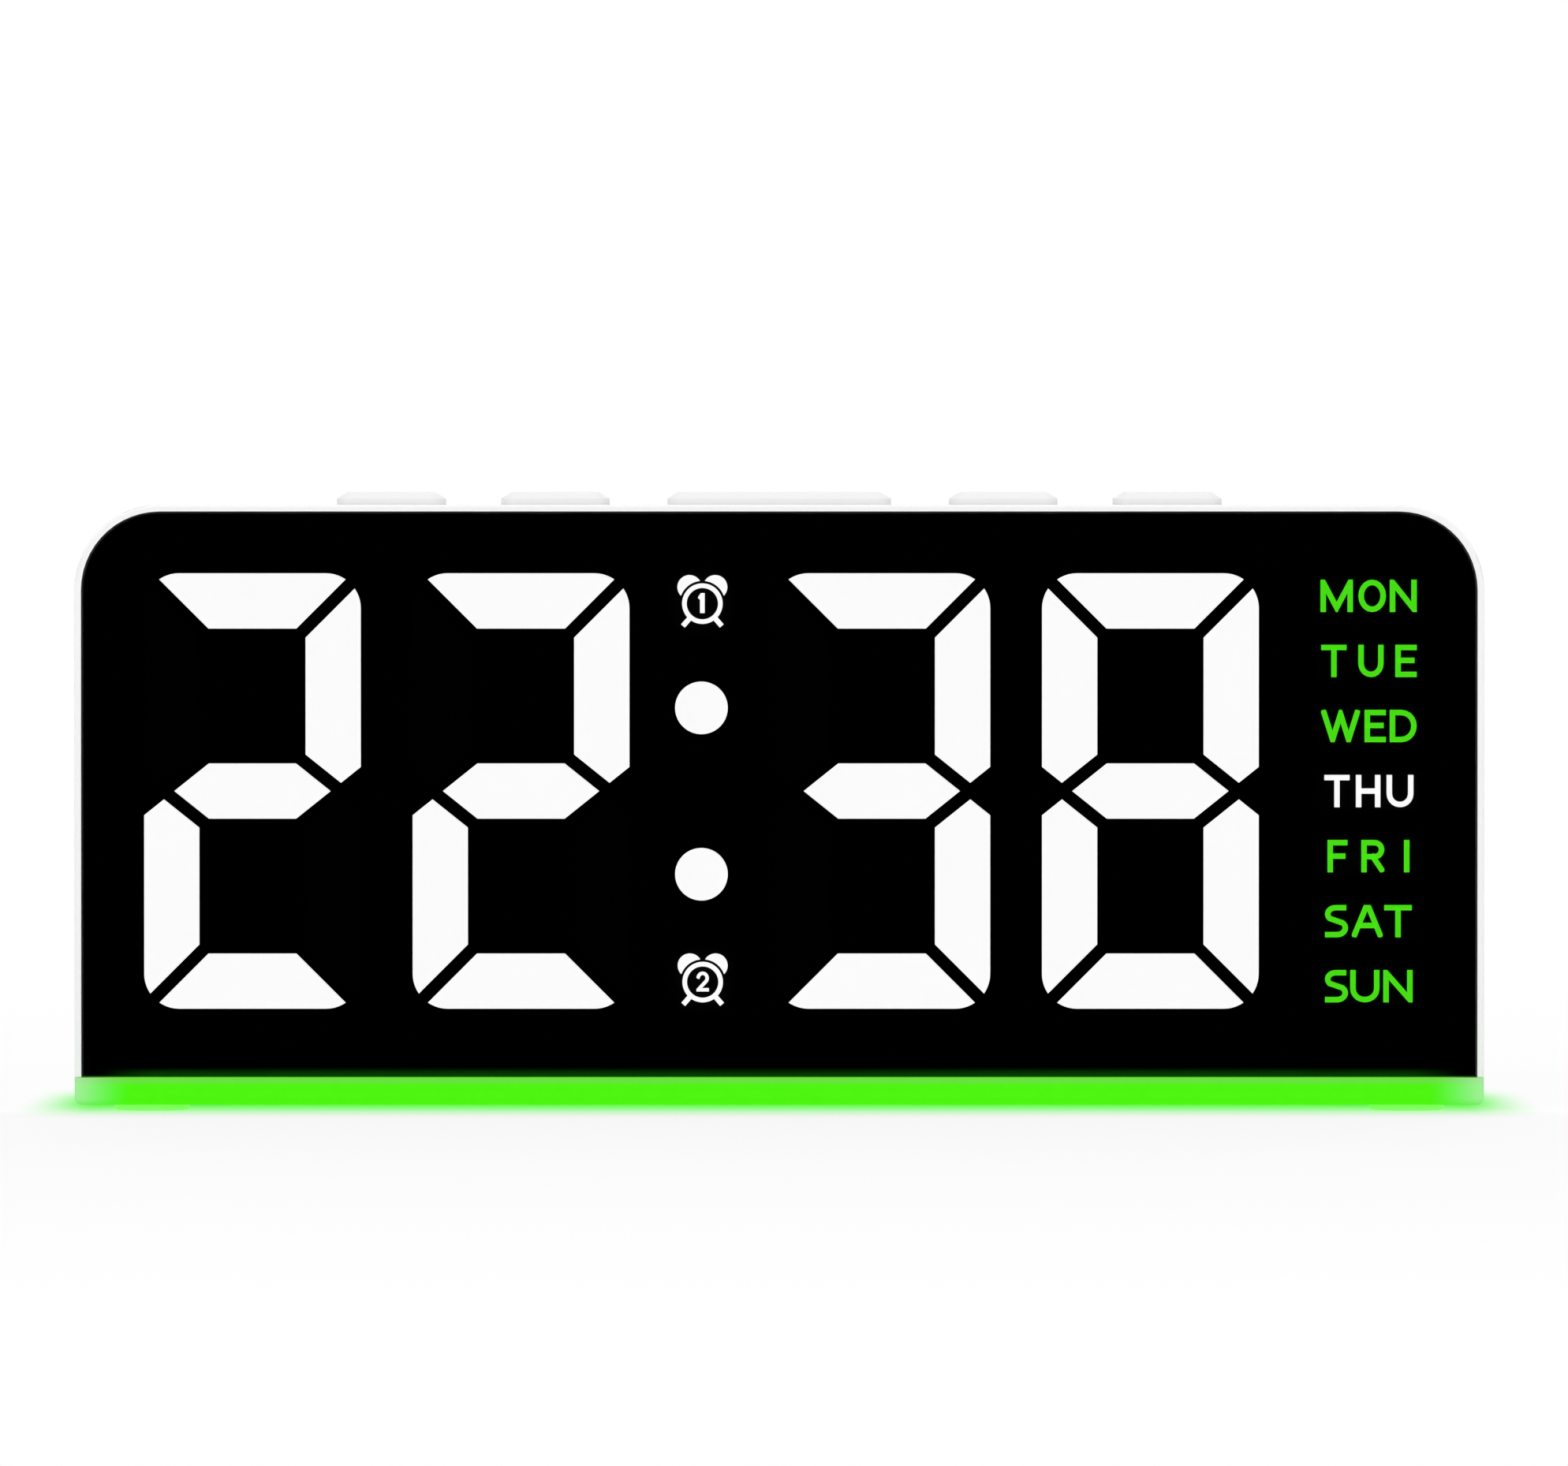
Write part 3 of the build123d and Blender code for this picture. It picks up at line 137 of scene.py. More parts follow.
def ramp(tree, value, start, end, from_value=0.0, to_value=1.0):
    """Add a smooth Map Range node: it goes from one value to the other between start and end."""
    span = {"Value": value, "From Min": start, "From Max": end, "To Min": from_value, "To Max": to_value}
    return add_node(tree, "MapRange", span, interpolation_type="SMOOTHSTEP").outputs["Result"]


def vector_math(tree, operation, *vectors):
    """Add a Vector Math node and return its outputs."""
    return add_node(tree, "VectorMath", dict(enumerate(vectors)), operation=operation).outputs


def object_position(tree):
    """Return the place on the piece in metres, and its three parts."""
    position = add_node(tree, "TexCoord", {}).outputs["Object"]
    return position, *add_node(tree, "SeparateXYZ", {"Vector": position}).outputs


def add_noise(tree, position, scale, detail=2.0):
    """Add a Noise texture with that many cells per metre."""
    return add_node(tree, "TexNoise", {"Vector": position, "Scale": scale, "Detail": detail}).outputs["Fac"]


print("Node helpers are ready")

# %% [markdown]
# ## Helpers for finishes
#
# A finish is a material with one Principled shader. Numbers that are the same all over the surface are set
# on the shader itself, and only what changes over the surface comes from nodes.

# %% Finish builder
finishes = {}


def new_finish(name, values):
    """Start a material whose Principled shader has these plain values; returns its tree and its shader."""
    material = bpy.data.materials.new(name)
    material.use_nodes = True
    shader = material.node_tree.nodes["Principled BSDF"]
    feed_inputs(material.node_tree, shader, values)
    finishes[name] = material
    return material.node_tree, shader


def place_group(tree, group, values):
    """Put a node group into a tree with its own values."""
    return add_node(tree, "Group", values, node_tree=group).outputs


def add_bump(tree, shader, height, depth):
    """Let a height from 0 to 1 raise the surface by a depth in metres."""
    bump = add_node(tree, "Bump", {"Distance": depth, "Height": height})
    feed(tree, bump.outputs["Normal"], shader.inputs["Normal"])


def wear_group(tree, shader, outputs, depth):
    """Take colour, roughness and bump from a group's outputs."""
    feed_inputs(tree, shader, {"Base Color": outputs["Color"], "Roughness": outputs["Roughness"]})
    add_bump(tree, shader, outputs["Height"], depth)


def grey(value):
    """A neutral colour."""
    return (value, value, value, 1)


print("Finish builder is ready")

# %% [markdown]
# ## Studio light and a white surround
#
# The photograph is a clean cut-out on white, lit evenly from all round. Four large soft lamps and a pale
# world give each surface about the brightness of its own colour. The surround looks pure white to the camera
# and in reflections, through the Light Path node, and lights the clock more gently than it looks. That keeps
# the white case from burning out against the white background. Only the lamp overhead shows in reflections.
# The low ones would burn a patch into the top of the case from wherever the eye stands opposite them.

# %% World and lamps
ambient_light = 0.46


def seen_directly(tree):
    """1 for rays that see a surface: from the camera, in a reflection or through something clear."""
    rays = add_node(tree, "LightPath", {}).outputs
    seen = calculate(tree, "MAXIMUM", rays["Is Camera Ray"], rays["Is Glossy Ray"])
    return calculate(tree, "MAXIMUM", seen, rays["Is Transmission Ray"])


world = bpy.data.worlds.new("white_surround")
world.use_nodes = True
bpy.context.scene.world = world
tree = world.node_tree
strength = calculate(tree, "MULTIPLY_ADD", seen_directly(tree), 1 - ambient_light, ambient_light)
feed_inputs(tree, tree.nodes["Background"], {"Color": grey(1), "Strength": strength})

clock_middle = Vector((0, 0, 34 * mm))
# name: place in metres, side of the square in metres, power in watts, whether it shows in reflections
lamps = {
    "overhead_lamp": ((0, -0.1, 1.3), 1.0, 4.1, True),
    "left_lamp": ((-1.1, -1.3, 0.75), 0.8, 10.8, False),
    "right_lamp": ((1.2, -1.2, 0.65), 0.8, 8.4, False),
    "rear_lamp": ((0.1, 1.45, 0.8), 0.9, 7.4, False),
}
for name, (place, lamp_side, power, in_reflections) in lamps.items():
    lamp = bpy.data.lights.new(name, "AREA")
    lamp.size = lamp_side
    lamp.energy = power
    holder = add_looking(name, lamp, Vector(place), clock_middle)
    holder.visible_camera = False
    holder.visible_glossy = in_reflections
print("Lamps:", ", ".join(lamps))

# %% [markdown]
# ## The floor, and a dark cloth for the display
#
# The floor is plain white. Far from the clock it takes exactly the surround's white, so that no horizon
# shows; near the clock it keeps a fifth of its own shading, which holds the contact shadow.
#
# The plate under the clock shines green on what it stands on. A white floor that is already lit to white
# can't get brighter, so the glow shows as the floor turning green under the plate and close to it. Three
# soft ramps do that in the floor's colour: to the sides, to the front and to the back.
#
# The display is polished and black. In a real studio such a surface is photographed against a black cloth
# that hangs behind the camera and runs forward over the table, because otherwise the white room shows in it.
# The same cloth is here. The camera can't see it, but reflections can, also those off the back of the clear
# sheet.

# %% Floor
floor_half_side = 3.0
floor_tone = 0.94
# share of plain white near the clock, and the distances between which it grows to 1
floor_lift = 0.78
floor_lift_start = 0.12
floor_lift_end = 0.45
glow_tone = (0.12, 0.96, 0.05, 1)
# way from the clock's middle: where the glow starts to fade and where it ends
glow_ramps = {
    "side": (73.5 * mm, 82 * mm),
    "front": (-6 * mm, 38 * mm),
    "back": (14 * mm, 50 * mm),
}


def add_object(name, bm, finish):
    """Turn a bmesh into an object with one finish."""
    mesh = bpy.data.meshes.new(name)
    bm.to_mesh(mesh)
    bm.free()
    mesh.materials.append(finishes[finish])
    made = bpy.data.objects.new(name, mesh)
    bpy.context.scene.collection.objects.link(made)
    return made


def add_stage_plane(name, corners, finish):
    """Add one flat face that belongs to the stage."""
    bm = bmesh.new()
    bm.faces.new([bm.verts.new(corner) for corner in corners])
    plane = add_object(name, bm, finish)
    return plane


tree, shader = new_finish("floor_white", {"Roughness": 0.7, "Specular IOR Level": 0.2})
position, along_x, along_y, _ = object_position(tree)
glow_places = {
    "side": calculate(tree, "ABSOLUTE", along_x),
    "front": calculate(tree, "MULTIPLY", along_y, -1.0),
    "back": along_y,
}
glow = 1.0
for way, (fade_start, fade_end) in glow_ramps.items():
    fade = ramp(tree, glow_places[way], fade_start, fade_end, 1.0, 0.0)
    glow = calculate(tree, "MULTIPLY", fade, glow)
feed(tree, mix_colors(tree, glow, grey(floor_tone), glow_tone), shader.inputs["Base Color"])
plain_white = add_node(tree, "Emission", {"Color": mix_colors(tree, glow, grey(1), glow_tone)})
distance = vector_math(tree, "LENGTH", position)["Value"]
white_share = ramp(tree, distance, floor_lift_start, floor_lift_end, floor_lift, 1.0)
white_share = calculate(tree, "MULTIPLY", seen_directly(tree), white_share)
both = {0: white_share, 1: shader.outputs["BSDF"], 2: plain_white.outputs["Emission"]}
floor_look = add_node(tree, "MixShader", both).outputs["Shader"]
feed(tree, floor_look, tree.nodes["Material Output"].inputs["Surface"])
floor_ways = ((-1, -1), (1, -1), (1, 1), (-1, 1))
floor_corners = [(x * floor_half_side, y * floor_half_side, 0) for x, y in floor_ways]
add_stage_plane("floor", floor_corners, "floor_white")
print("The floor's glow fades out to these sides:", ", ".join(glow_ramps))

# %% Cloth
cloth_distance = 1.8
cloth_start = 18.5 * mm
cloth_lift = 0.4 * mm
cloth_height = 1.3
left, right = -2.0, 2.0

new_finish("cloth_black", {"Base Color": grey(0), "Specular IOR Level": 0.0})
cloth_fold = (-cloth_distance, cloth_lift)
for name, first, second in (
    ("cloth_behind_camera", (-cloth_distance, cloth_height), cloth_fold),
    ("cloth_on_table", cloth_fold, (-cloth_start, cloth_lift)),
):
    corners = [(left, *first), (right, *first), (right, *second), (left, *second)]
    cloth = add_stage_plane(name, corners, "cloth_black")
    cloth.visible_camera = cloth.visible_diffuse = cloth.visible_shadow = False

# %% [markdown]
# ## Shared effects as node groups
#
# Several finishes share an effect: the fine skin of moulded plastic, drawn metal, a printed circuit, the
# light of a lit window, and a mask that picks out a box-shaped part of a node, such as the pins of a pin
# row. Each effect is a node group, built once and placed in a material with its own numbers. The groups work
# on object coordinates in metres, so a pattern has a real size and stays with the piece when it moves.

# %% Group builder
number = "NodeSocketFloat"
color = "NodeSocketColor"
vector = "NodeSocketVector"
surface_outputs = {"Color": color, "Roughness": number, "Height": number}


def new_group(name, inputs, outputs):
    """Start a node group; returns its tree, the sockets of its inputs and its output node."""
    tree = bpy.data.node_groups.new(name, "ShaderNodeTree")
    for label, value in inputs.items():
        kind = number if isinstance(value, float) else {3: vector, 4: color}[len(value)]
        socket = tree.interface.new_socket(label, in_out="INPUT", socket_type=kind)
        socket.default_value = value
    for label, kind in outputs.items():
        tree.interface.new_socket(label, in_out="OUTPUT", socket_type=kind)
    return tree, tree.nodes.new("NodeGroupInput").outputs, tree.nodes.new("NodeGroupOutput")


print("Group builder is ready")

# %% [markdown]
# ### The skin of moulded plastic
#
# An injection mould is spark-eroded, which leaves a fine even grain on the part, and the plastic itself is
# never one flat tone. Two noises do this: a slow one shifts colour and gloss by a few percent, and a fast
# one, about a fifth of a millimetre, is the grain. The height goes to a Bump node in each material.

# %% Moulded skin
skin_cloud_scale = 70.0  # clouds in a metre
skin, skin_in, skin_out = new_group(
    "moulded_skin",
    {"Color": grey(0.8), "Mottle": 0.03, "Roughness": 0.4, "Spread": 0.08, "Grain": 5000.0},
    surface_outputs,
)
skin_position = object_position(skin)[0]
skin_clouds = add_noise(skin, skin_position, skin_cloud_scale, detail=3.0)
skin_grain = add_noise(skin, skin_position, skin_in["Grain"])
darker = mix_colors(skin, skin_in["Mottle"], skin_in["Color"], grey(0))
mottled = mix_colors(skin, skin_clouds, darker, skin_in["Color"])
uneven = calculate(skin, "ADD", skin_clouds, skin_grain)
uneven = calculate(skin, "SUBTRACT", uneven, 1.0)
uneven = calculate(skin, "MULTIPLY_ADD", uneven, skin_in["Spread"], skin_in["Roughness"], clamp=True)
feed_inputs(skin, skin_out, {"Color": mottled, "Roughness": uneven, "Height": skin_grain})
print("Node group:", skin.name)

# %% [markdown]
# ### Drawn and brushed metal
#
# Spring strip, screw heads and small cans keep fine lines from drawing or turning. A noise stretched along
# one axis gives the lines; they change the gloss and the tone slightly. The stretch is an input, so the
# lines run along the strip on a contact and round the socket's shell.

# %% Metal lines
line_darkness = 0.18  # share by which a line is darker than the metal
metal, metal_in, metal_out = new_group(
    "metal_lines",
    {"Color": grey(0.7), "Stretch": (300.0, 6000.0, 6000.0), "Roughness": 0.3, "Spread": 0.2},
    surface_outputs,
)
stretched = vector_math(metal, "MULTIPLY", object_position(metal)[0], metal_in["Stretch"])["Vector"]
lines = add_noise(metal, stretched, 1.0, detail=3.0)
dimmed = mix_colors(metal, line_darkness, metal_in["Color"], grey(0))
lined = mix_colors(metal, lines, dimmed, metal_in["Color"])
scored = calculate(metal, "SUBTRACT", lines, 0.5)
scored = calculate(metal, "MULTIPLY_ADD", scored, metal_in["Spread"], metal_in["Roughness"], clamp=True)
feed_inputs(metal, metal_out, {"Color": lined, "Roughness": scored, "Height": lines})
print("Node group:", metal.name)

# %% [markdown]
# ### A mask for part of a node
#
# Some CAD nodes hold two real materials in one mesh: a pin row is black plastic round gold pins. A mask that
# is 1 inside a box tells them apart without cutting the mesh, which the frame forbids.

# %% Box mask
box_mask, box_in, box_out = new_group(
    "box_mask",
    {"Low": (-1.0, -1.0, -1.0), "High": (1.0, 1.0, 1.0), "Edge": 0.05 * mm},
    {"Mask": number},
)
box_position = object_position(box_mask)[0]
margins = []
for first, second in ((box_position, box_in["Low"]), (box_in["High"], box_position)):
    difference = vector_math(box_mask, "SUBTRACT", first, second)["Vector"]
    margins += add_node(box_mask, "SeparateXYZ", {"Vector": difference}).outputs
nearest = margins[0]
for margin in margins[1:]:
    nearest = calculate(box_mask, "MINIMUM", nearest, margin)
inside_box = calculate(box_mask, "DIVIDE", nearest, box_in["Edge"], clamp=True)
feed_inputs(box_mask, box_out, {"Mask": inside_box})
print("Node group:", box_mask.name)

# %% [markdown]
# ### A printed circuit
#
# A circuit board shows its copper tracks as slightly raised, lighter lines under the solder mask, with a
# weave of glass fibre below. A brick pattern whose joints are the tracks reads well at this size, broken up
# by a noise so that the tracks stop and start. The board's own plane is chosen by turning the coordinates.

# %% Circuit print
track_width = 0.12 * mm
track_run = 6.2 * mm
track_pitch = 1.9 * mm
track_gap_scale = 180.0
track_fade = (0.46, 0.5)  # levels of the noise between which a track fades in
weave_scale = 3000.0
weave_darkness = 0.25
board_roughness = (0.25, 0.45)
circuit, circuit_in, circuit_out = new_group(
    "circuit_print",
    {"Color": (0.02, 0.18, 0.07, 1), "Track": (0.05, 0.3, 0.12, 1), "Turn": (0.0, 0.0, 0.0)},
    surface_outputs,
)
circuit_position = object_position(circuit)[0]
turned = add_node(circuit, "Mapping", {"Vector": circuit_position, "Rotation": circuit_in["Turn"]})
brick_inputs = {
    "Vector": turned.outputs["Vector"],
    "Color1": grey(0),
    "Color2": grey(0),
    "Mortar": grey(1),
    "Scale": 1.0,
    "Mortar Size": track_width,
    "Brick Width": track_run,
    "Row Height": track_pitch,
}
tracks = add_node(circuit, "TexBrick", brick_inputs, offset=0.37, squash=0.6)
gaps = add_noise(circuit, circuit_position, track_gap_scale)
broken = ramp(circuit, gaps, *track_fade)
track_mask = calculate(circuit, "MULTIPLY", tracks.outputs["Color"], broken)
weave = add_noise(circuit, circuit_position, weave_scale)
shade = calculate(circuit, "MULTIPLY", weave, weave_darkness)
shaded = mix_colors(circuit, shade, circuit_in["Color"], grey(0))
tracked = mix_colors(circuit, track_mask, shaded, circuit_in["Track"])
rough = ramp(circuit, weave, 0.0, 1.0, *board_roughness)
feed_inputs(circuit, circuit_out, {"Color": tracked, "Roughness": rough, "Height": track_mask})
print("Node group:", circuit.name)

# %% [markdown]
# ### The light of a lit window
#
# A digit's segment is a block of milky plastic with chips behind it. Its face looks almost even, with a faint
# cloudiness from the filler in the plastic. The group gives the glow's colour; how strong it is stays a plain
# number on each material's shader.

# %% Window light
window_cloud_scale = 700.0
window, window_in, window_out = new_group(
    "window_light", {"Light": grey(1), "Cloud": 0.04}, {"Light": color}
)
cloud = add_noise(window, object_position(window)[0], window_cloud_scale)
dulled = mix_colors(window, window_in["Cloud"], window_in["Light"], grey(0))
feed_inputs(window, window_out, {"Light": mix_colors(window, cloud, dulled, window_in["Light"])})
print("Node group:", window.name)

# %% [markdown]
# ## Finishes
#
# Most of the clock is moulded plastic, so one loop makes all of those finishes from a short table. The case
# is satin white, the keys a little darker and more matt, which is all that sets them off from the case in
# the photograph. The parts inside are the usual black of connectors, chips and frames. What lies unlit
# behind the display is blacker still; on the unlit digit blocks, which are milky plastic, that near-black
# colour is painted shade for the dark behind the lens. The feet are clear soft silicone under the light bar:
# some of its light runs down into them, so they get a little subsurface scattering, a painted green glow,
# and a green tint painted into their colour for that light.

# %% Plastics
grain_depth = 0.006 * mm
# name: colour, roughness, grains in a metre, share by which the tone changes
plastics = {
    "case_white": (grey(0.89), 0.36, 5200.0, 0.025),
    "key_white": (grey(0.85), 0.5, 7000.0, 0.02),
    "frame_black": (grey(0.012), 0.5, 4000.0, 0.3),
    "chip_black": (grey(0.014), 0.6, 9000.0, 0.3),
    "plunger_black": (grey(0.02), 0.4, 6000.0, 0.25),
    "sounder_black": (grey(0.02), 0.55, 4500.0, 0.3),
    "wire_red": ((0.42, 0.02, 0.02, 1), 0.4, 5000.0, 0.1),
    "wire_black": (grey(0.015), 0.4, 5000.0, 0.1),
    # foot_silicone: the green tint in this colour is painted light from the bar, not the silicone's own
    # colour
    "foot_silicone": ((0.35, 0.8, 0.3, 1), 0.55, 3500.0, 0.1),
    # window_black: on the unlit digit blocks its near-black colour is painted shade
    "window_black": (grey(0.003), 0.7, 4000.0, 0.3),
}
shader_extras = {
    "window_black": {"Specular IOR Level": 0.1},
    "foot_silicone": {
        "Subsurface Weight": 0.4,
        "Subsurface Radius": (1.0, 1.0, 1.0),
        "Subsurface Scale": 0.6 * mm,
        # The feet's emission is a painted green glow for the bar's light; they are no lamp.
        "Emission Color": (0.3, 0.9, 0.14, 1),
        "Emission Strength": 0.55,
    },
}
for name, (tone, roughness, grain, mottle) in plastics.items():
    tree, shader = new_finish(name, {"IOR": 1.5, **shader_extras.get(name, {})})
    look = {"Color": tone, "Roughness": roughness, "Grain": grain, "Mottle": mottle}
    wear_group(tree, shader, place_group(tree, skin, look), grain_depth)
print("Plastics:", ", ".join(plastics))

# %% [markdown]
# ### Metals
#
# Spring strip is nickel plated, the screws are zinc plated, and the socket's shell and the crystal's can are
# steel. They share the line pattern; only its direction, its tone and its gloss differ.

# %% Metals
# name: colour, lines in a metre along each axis, roughness
metals = {
    "contact_nickel": ((0.66, 0.62, 0.55, 1), (6000.0, 6000.0, 400.0), 0.28),
    "screw_steel": ((0.56, 0.57, 0.6, 1), (5000.0, 5000.0, 5000.0), 0.34),
    "can_steel": (grey(0.62), (500.0, 7000.0, 500.0), 0.25),
}
line_depth = 0.002 * mm
for name, (tone, stretch, roughness) in metals.items():
    tree, shader = new_finish(name, {"Metallic": 1.0})
    look = {"Color": tone, "Stretch": stretch, "Roughness": roughness}
    wear_group(tree, shader, place_group(tree, metal, look), line_depth)
print("Metals:", ", ".join(metals))

# %% [markdown]
# ### Circuit boards and their chips
#
# The display board, the key board and the power board are green. The light strip's board is white, because
# it has to throw light down. The chips that light the display and the bar are small blocks of yellow
# phosphor.

# %% Boards
upright_board = (math.radians(90), 0.0, 0.0)
level_board = (0.0, 0.0, 0.0)
green_mask = (0.015, 0.16, 0.06, 1)
green_track = (0.03, 0.27, 0.1, 1)
boards = {
    "board_green": (green_mask, green_track, upright_board),
    "board_green_level": (green_mask, green_track, level_board),
    "board_white": ((0.8, 0.8, 0.77, 1), (0.62, 0.62, 0.58, 1), level_board),
}
track_depth = 0.03 * mm
for name, (tone, track, turn) in boards.items():
    tree, shader = new_finish(name, {"IOR": 1.55})
    look = {"Color": tone, "Track": track, "Turn": turn}
    wear_group(tree, shader, place_group(tree, circuit, look), track_depth)

tree, shader = new_finish("led_white", {"Roughness": 0.15, "Emission Strength": 0.6})
phosphor = place_group(tree, window, {"Light": (0.95, 0.8, 0.25, 1), "Cloud": 0.5})["Light"]
feed_inputs(tree, shader, {"Base Color": phosphor, "Emission Color": phosphor})
print("Boards:", ", ".join(boards))

# %% [markdown]
# ### The lens and the film behind it
#
# The front is one sheet of smoked acrylic. It is really clear: the film behind it is printed black and leaves
# only the windows open, and the tint hides whatever isn't lit. Acrylic bends light with an index of 1.49. The
# film gets a painted green glow along its lower edge, for the light that the bar shines up into the sheet.

# %% Lens and film
bar_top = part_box("base_diffuser")[1].z
tree, shader = new_finish(
    "lens_smoke", {"Transmission Weight": 1.0, "IOR": 1.49, "Metallic": 0.0, "Specular IOR Level": 0.5}
)
sheet = place_group(tree, skin, {"Color": grey(0.3), "Mottle": 0.02, "Roughness": 0.02, "Spread": 0.01})
feed_inputs(tree, shader, {"Base Color": sheet["Color"], "Roughness": sheet["Roughness"]})

# Painted glow: green emission on the film's lower edge stands in for the bar's light shining up into the
# sheet.
film_glow_tone = (0.004, 0.11, 0.0, 1)
film_glow_height = 1.1 * mm
film_glow_fade_start = 66 * mm
film_glow_fade_end = 73 * mm
tree, shader = new_finish("mask_black", {"Emission Strength": 1.0, "Specular IOR Level": 0.2})
film = place_group(tree, skin, {"Color": grey(0.003), "Mottle": 0.3, "Roughness": 0.6, "Grain": 9000.0})
feed_inputs(tree, shader, {"Base Color": film["Color"], "Roughness": film["Roughness"]})
_, film_x, _, film_z = object_position(tree)
edge_glow = ramp(tree, film_z, bar_top, bar_top + film_glow_height, 1.0, 0.0)
film_side = calculate(tree, "ABSOLUTE", film_x)
edge_fade = ramp(tree, film_side, film_glow_fade_start, film_glow_fade_end, 1.0, 0.0)
edge_glow = calculate(tree, "MULTIPLY", edge_glow, edge_fade)
feed(tree, mix_colors(tree, edge_glow, grey(0), film_glow_tone), shader.inputs["Emission Color"])
print("The film's glow starts at z =", round(bar_top / mm, 2), "mm")

# %% [markdown]
# ### Lit windows
#
# The windows' colours are those of the photograph: the digits, the dots, the alarm pictograms and today's
# name are white, and the other names green. The lens takes about two thirds of the light on its way out, so
# the windows are stronger than white.

# %% Window finishes
lens_pass = 0.3
unlit_darkening = 0.88  # how far a window's own colour lies from its light towards black
# name: light, level on the lens's front, share by which it changes
window_lights = {
    "segment_lit": (grey(1), 1.05, 0.02),
    "symbol_white": (grey(1), 1.05, 0.02),
    "weekday_green": ((0.07, 0.79, 0.008, 1), 1.0, 0.06),
}
for name, (light, level, clouds) in window_lights.items():
    tree, shader = new_finish(name, {"Roughness": 0.5, "Emission Strength": level / lens_pass})
    glow = place_group(tree, window, {"Light": light, "Cloud": clouds})["Light"]
    body = mix_colors(tree, unlit_darkening, glow, grey(0.01))
    feed_inputs(tree, shader, {"Emission Color": glow, "Base Color": body})
print("Windows:", ", ".join(window_lights))

# %% [markdown]
# ### The light bar
#
# The plate under the case is frosted acrylic with nine lamps above it. Its light is even along the middle and
# fades over the last few millimetres, where it turns from green to the plate's own milky white. Along the top
# edge, under the case, it is a little paler. Both follow the place on the plate. Where the plate is lit, its
# colour is painted deep green as well, which stands in for its own light on the milky body.

# %% Light bar finish
bar_core = (0.075, 0.93, 0.0, 1)
bar_pale = (0.15, 0.75, 0.05, 1)
milky_white = grey(0.8)
painted_lit_green = (0.01, 0.1, 0.003, 1)
bar_full_reach = 69 * mm
bar_fade_reach = 82 * mm
bar_pale_start = bar_top - 0.9 * mm
bar_pale_end = bar_top - 0.3 * mm
frost_scale = 6000.0
frost_depth = 0.01 * mm

tree, shader = new_finish(
    "base_frosted", {"Roughness": 0.55, "Emission Strength": 0.9, "IOR": 1.49, "Specular IOR Level": 0.1}
)
bar_position, bar_x, _, bar_z = object_position(tree)
lit = ramp(tree, calculate(tree, "ABSOLUTE", bar_x), bar_full_reach, bar_fade_reach, 1.0, 0.0)
bar_light = mix_colors(tree, ramp(tree, bar_z, bar_pale_start, bar_pale_end), bar_core, bar_pale)
cloudy = place_group(tree, window, {"Light": bar_light, "Cloud": 0.05})["Light"]
bar_glow = mix_colors(tree, lit, grey(0), cloudy)
# Painted light: where lit, the plate's colour turns from its milky white to a painted deep green.
bar_tone_and_painted_light = mix_colors(tree, lit, milky_white, painted_lit_green)
feed_inputs(tree, shader, {"Emission Color": bar_glow, "Base Color": bar_tone_and_painted_light})
add_bump(tree, shader, add_noise(tree, bar_position, frost_scale), frost_depth)
print("The bar is fully lit to x = +-", round(bar_full_reach / mm), "mm")

# %% [markdown]
# ## Dressing the CAD nodes
#
# Each CAD node came in with a plain material named after its slot in the record. Most slots have one finish,
# so the node's slot picks it. Nodes that hold two real materials get a finish of their own, made from the
# two with a box mask: a pin row's pins, a switch's steel cover, a capacitor's bare end, a chip's leads. The
# key board and the power board lie level, so they get the finish whose tracks are turned that way.

# %% Two materials in one node
far = 1.0  # past the clock on every side


def slab(low_y=-far, high_y=far, low_z=-far, high_z=far):
    """A box that runs past the clock, apart from the limits that are given."""
    return {"Low": (-far, low_y, low_z), "High": (far, high_y, high_z)}


def two_part_finish(name, outside, inside, box):
    """A finish with one look outside a box and another inside; a look is (colour, metallic, roughness)."""
    tree, shader = new_finish(name, {})
    mask = place_group(tree, box_mask, box)["Mask"]
    skin_of = place_group(tree, skin, {"Color": outside[0], "Roughness": outside[2], "Mottle": 0.1})
    metal_of = place_group(tree, metal, {"Color": inside[0], "Roughness": inside[2]})
    mixed = mix_colors(tree, mask, skin_of["Color"], metal_of["Color"])
    rough = calculate(tree, "SUBTRACT", metal_of["Roughness"], skin_of["Roughness"])
    rough = calculate(tree, "MULTIPLY_ADD", rough, mask, skin_of["Roughness"])
    shine = calculate(tree, "MULTIPLY_ADD", mask, inside[1] - outside[1], outside[1])
    feed_inputs(tree, shader, {"Base Color": mixed, "Roughness": rough, "Metallic": shine})
    add_bump(tree, shader, skin_of["Height"], grain_depth)
    return finishes[name]


print("A mask's box reaches", far, "m past the clock")

# %% Nodes with two materials
pin_start = 0.02 * mm  # from a board's front, where a row's pins leave the plastic
cover_height = 0.5 * mm  # of a switch's steel cover
can_end_depth = 0.05 * mm
lead_reach = 1.35 * mm  # of the chip's leads at its lower and upper end
black_plastic = (grey(0.015), 0.0, 0.5)
gold = ((0.83, 0.6, 0.26, 1), 1.0, 0.25)
steel = (grey(0.6), 1.0, 0.3)
aluminium = ((0.75, 0.76, 0.78, 1), 1.0, 0.3)
node_finishes = {}
for board in ("key", "power", "light"):
    pins = slab(high_y=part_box(f"{board}_board")[0].y - pin_start)
    node_finishes[f"{board}_header"] = two_part_finish(f"{board}_header_row", black_plastic, gold, pins)
for key in ("set", "alarm", "snooze", "up", "down"):
    cover = slab(low_z=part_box(f"{key}_switch")[1].z - cover_height)
    node_finishes[f"{key}_switch"] = two_part_finish(f"{key}_switch_cover", black_plastic, steel, cover)
can_end = slab(low_y=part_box("supply_capacitor")[1].y - can_end_depth)
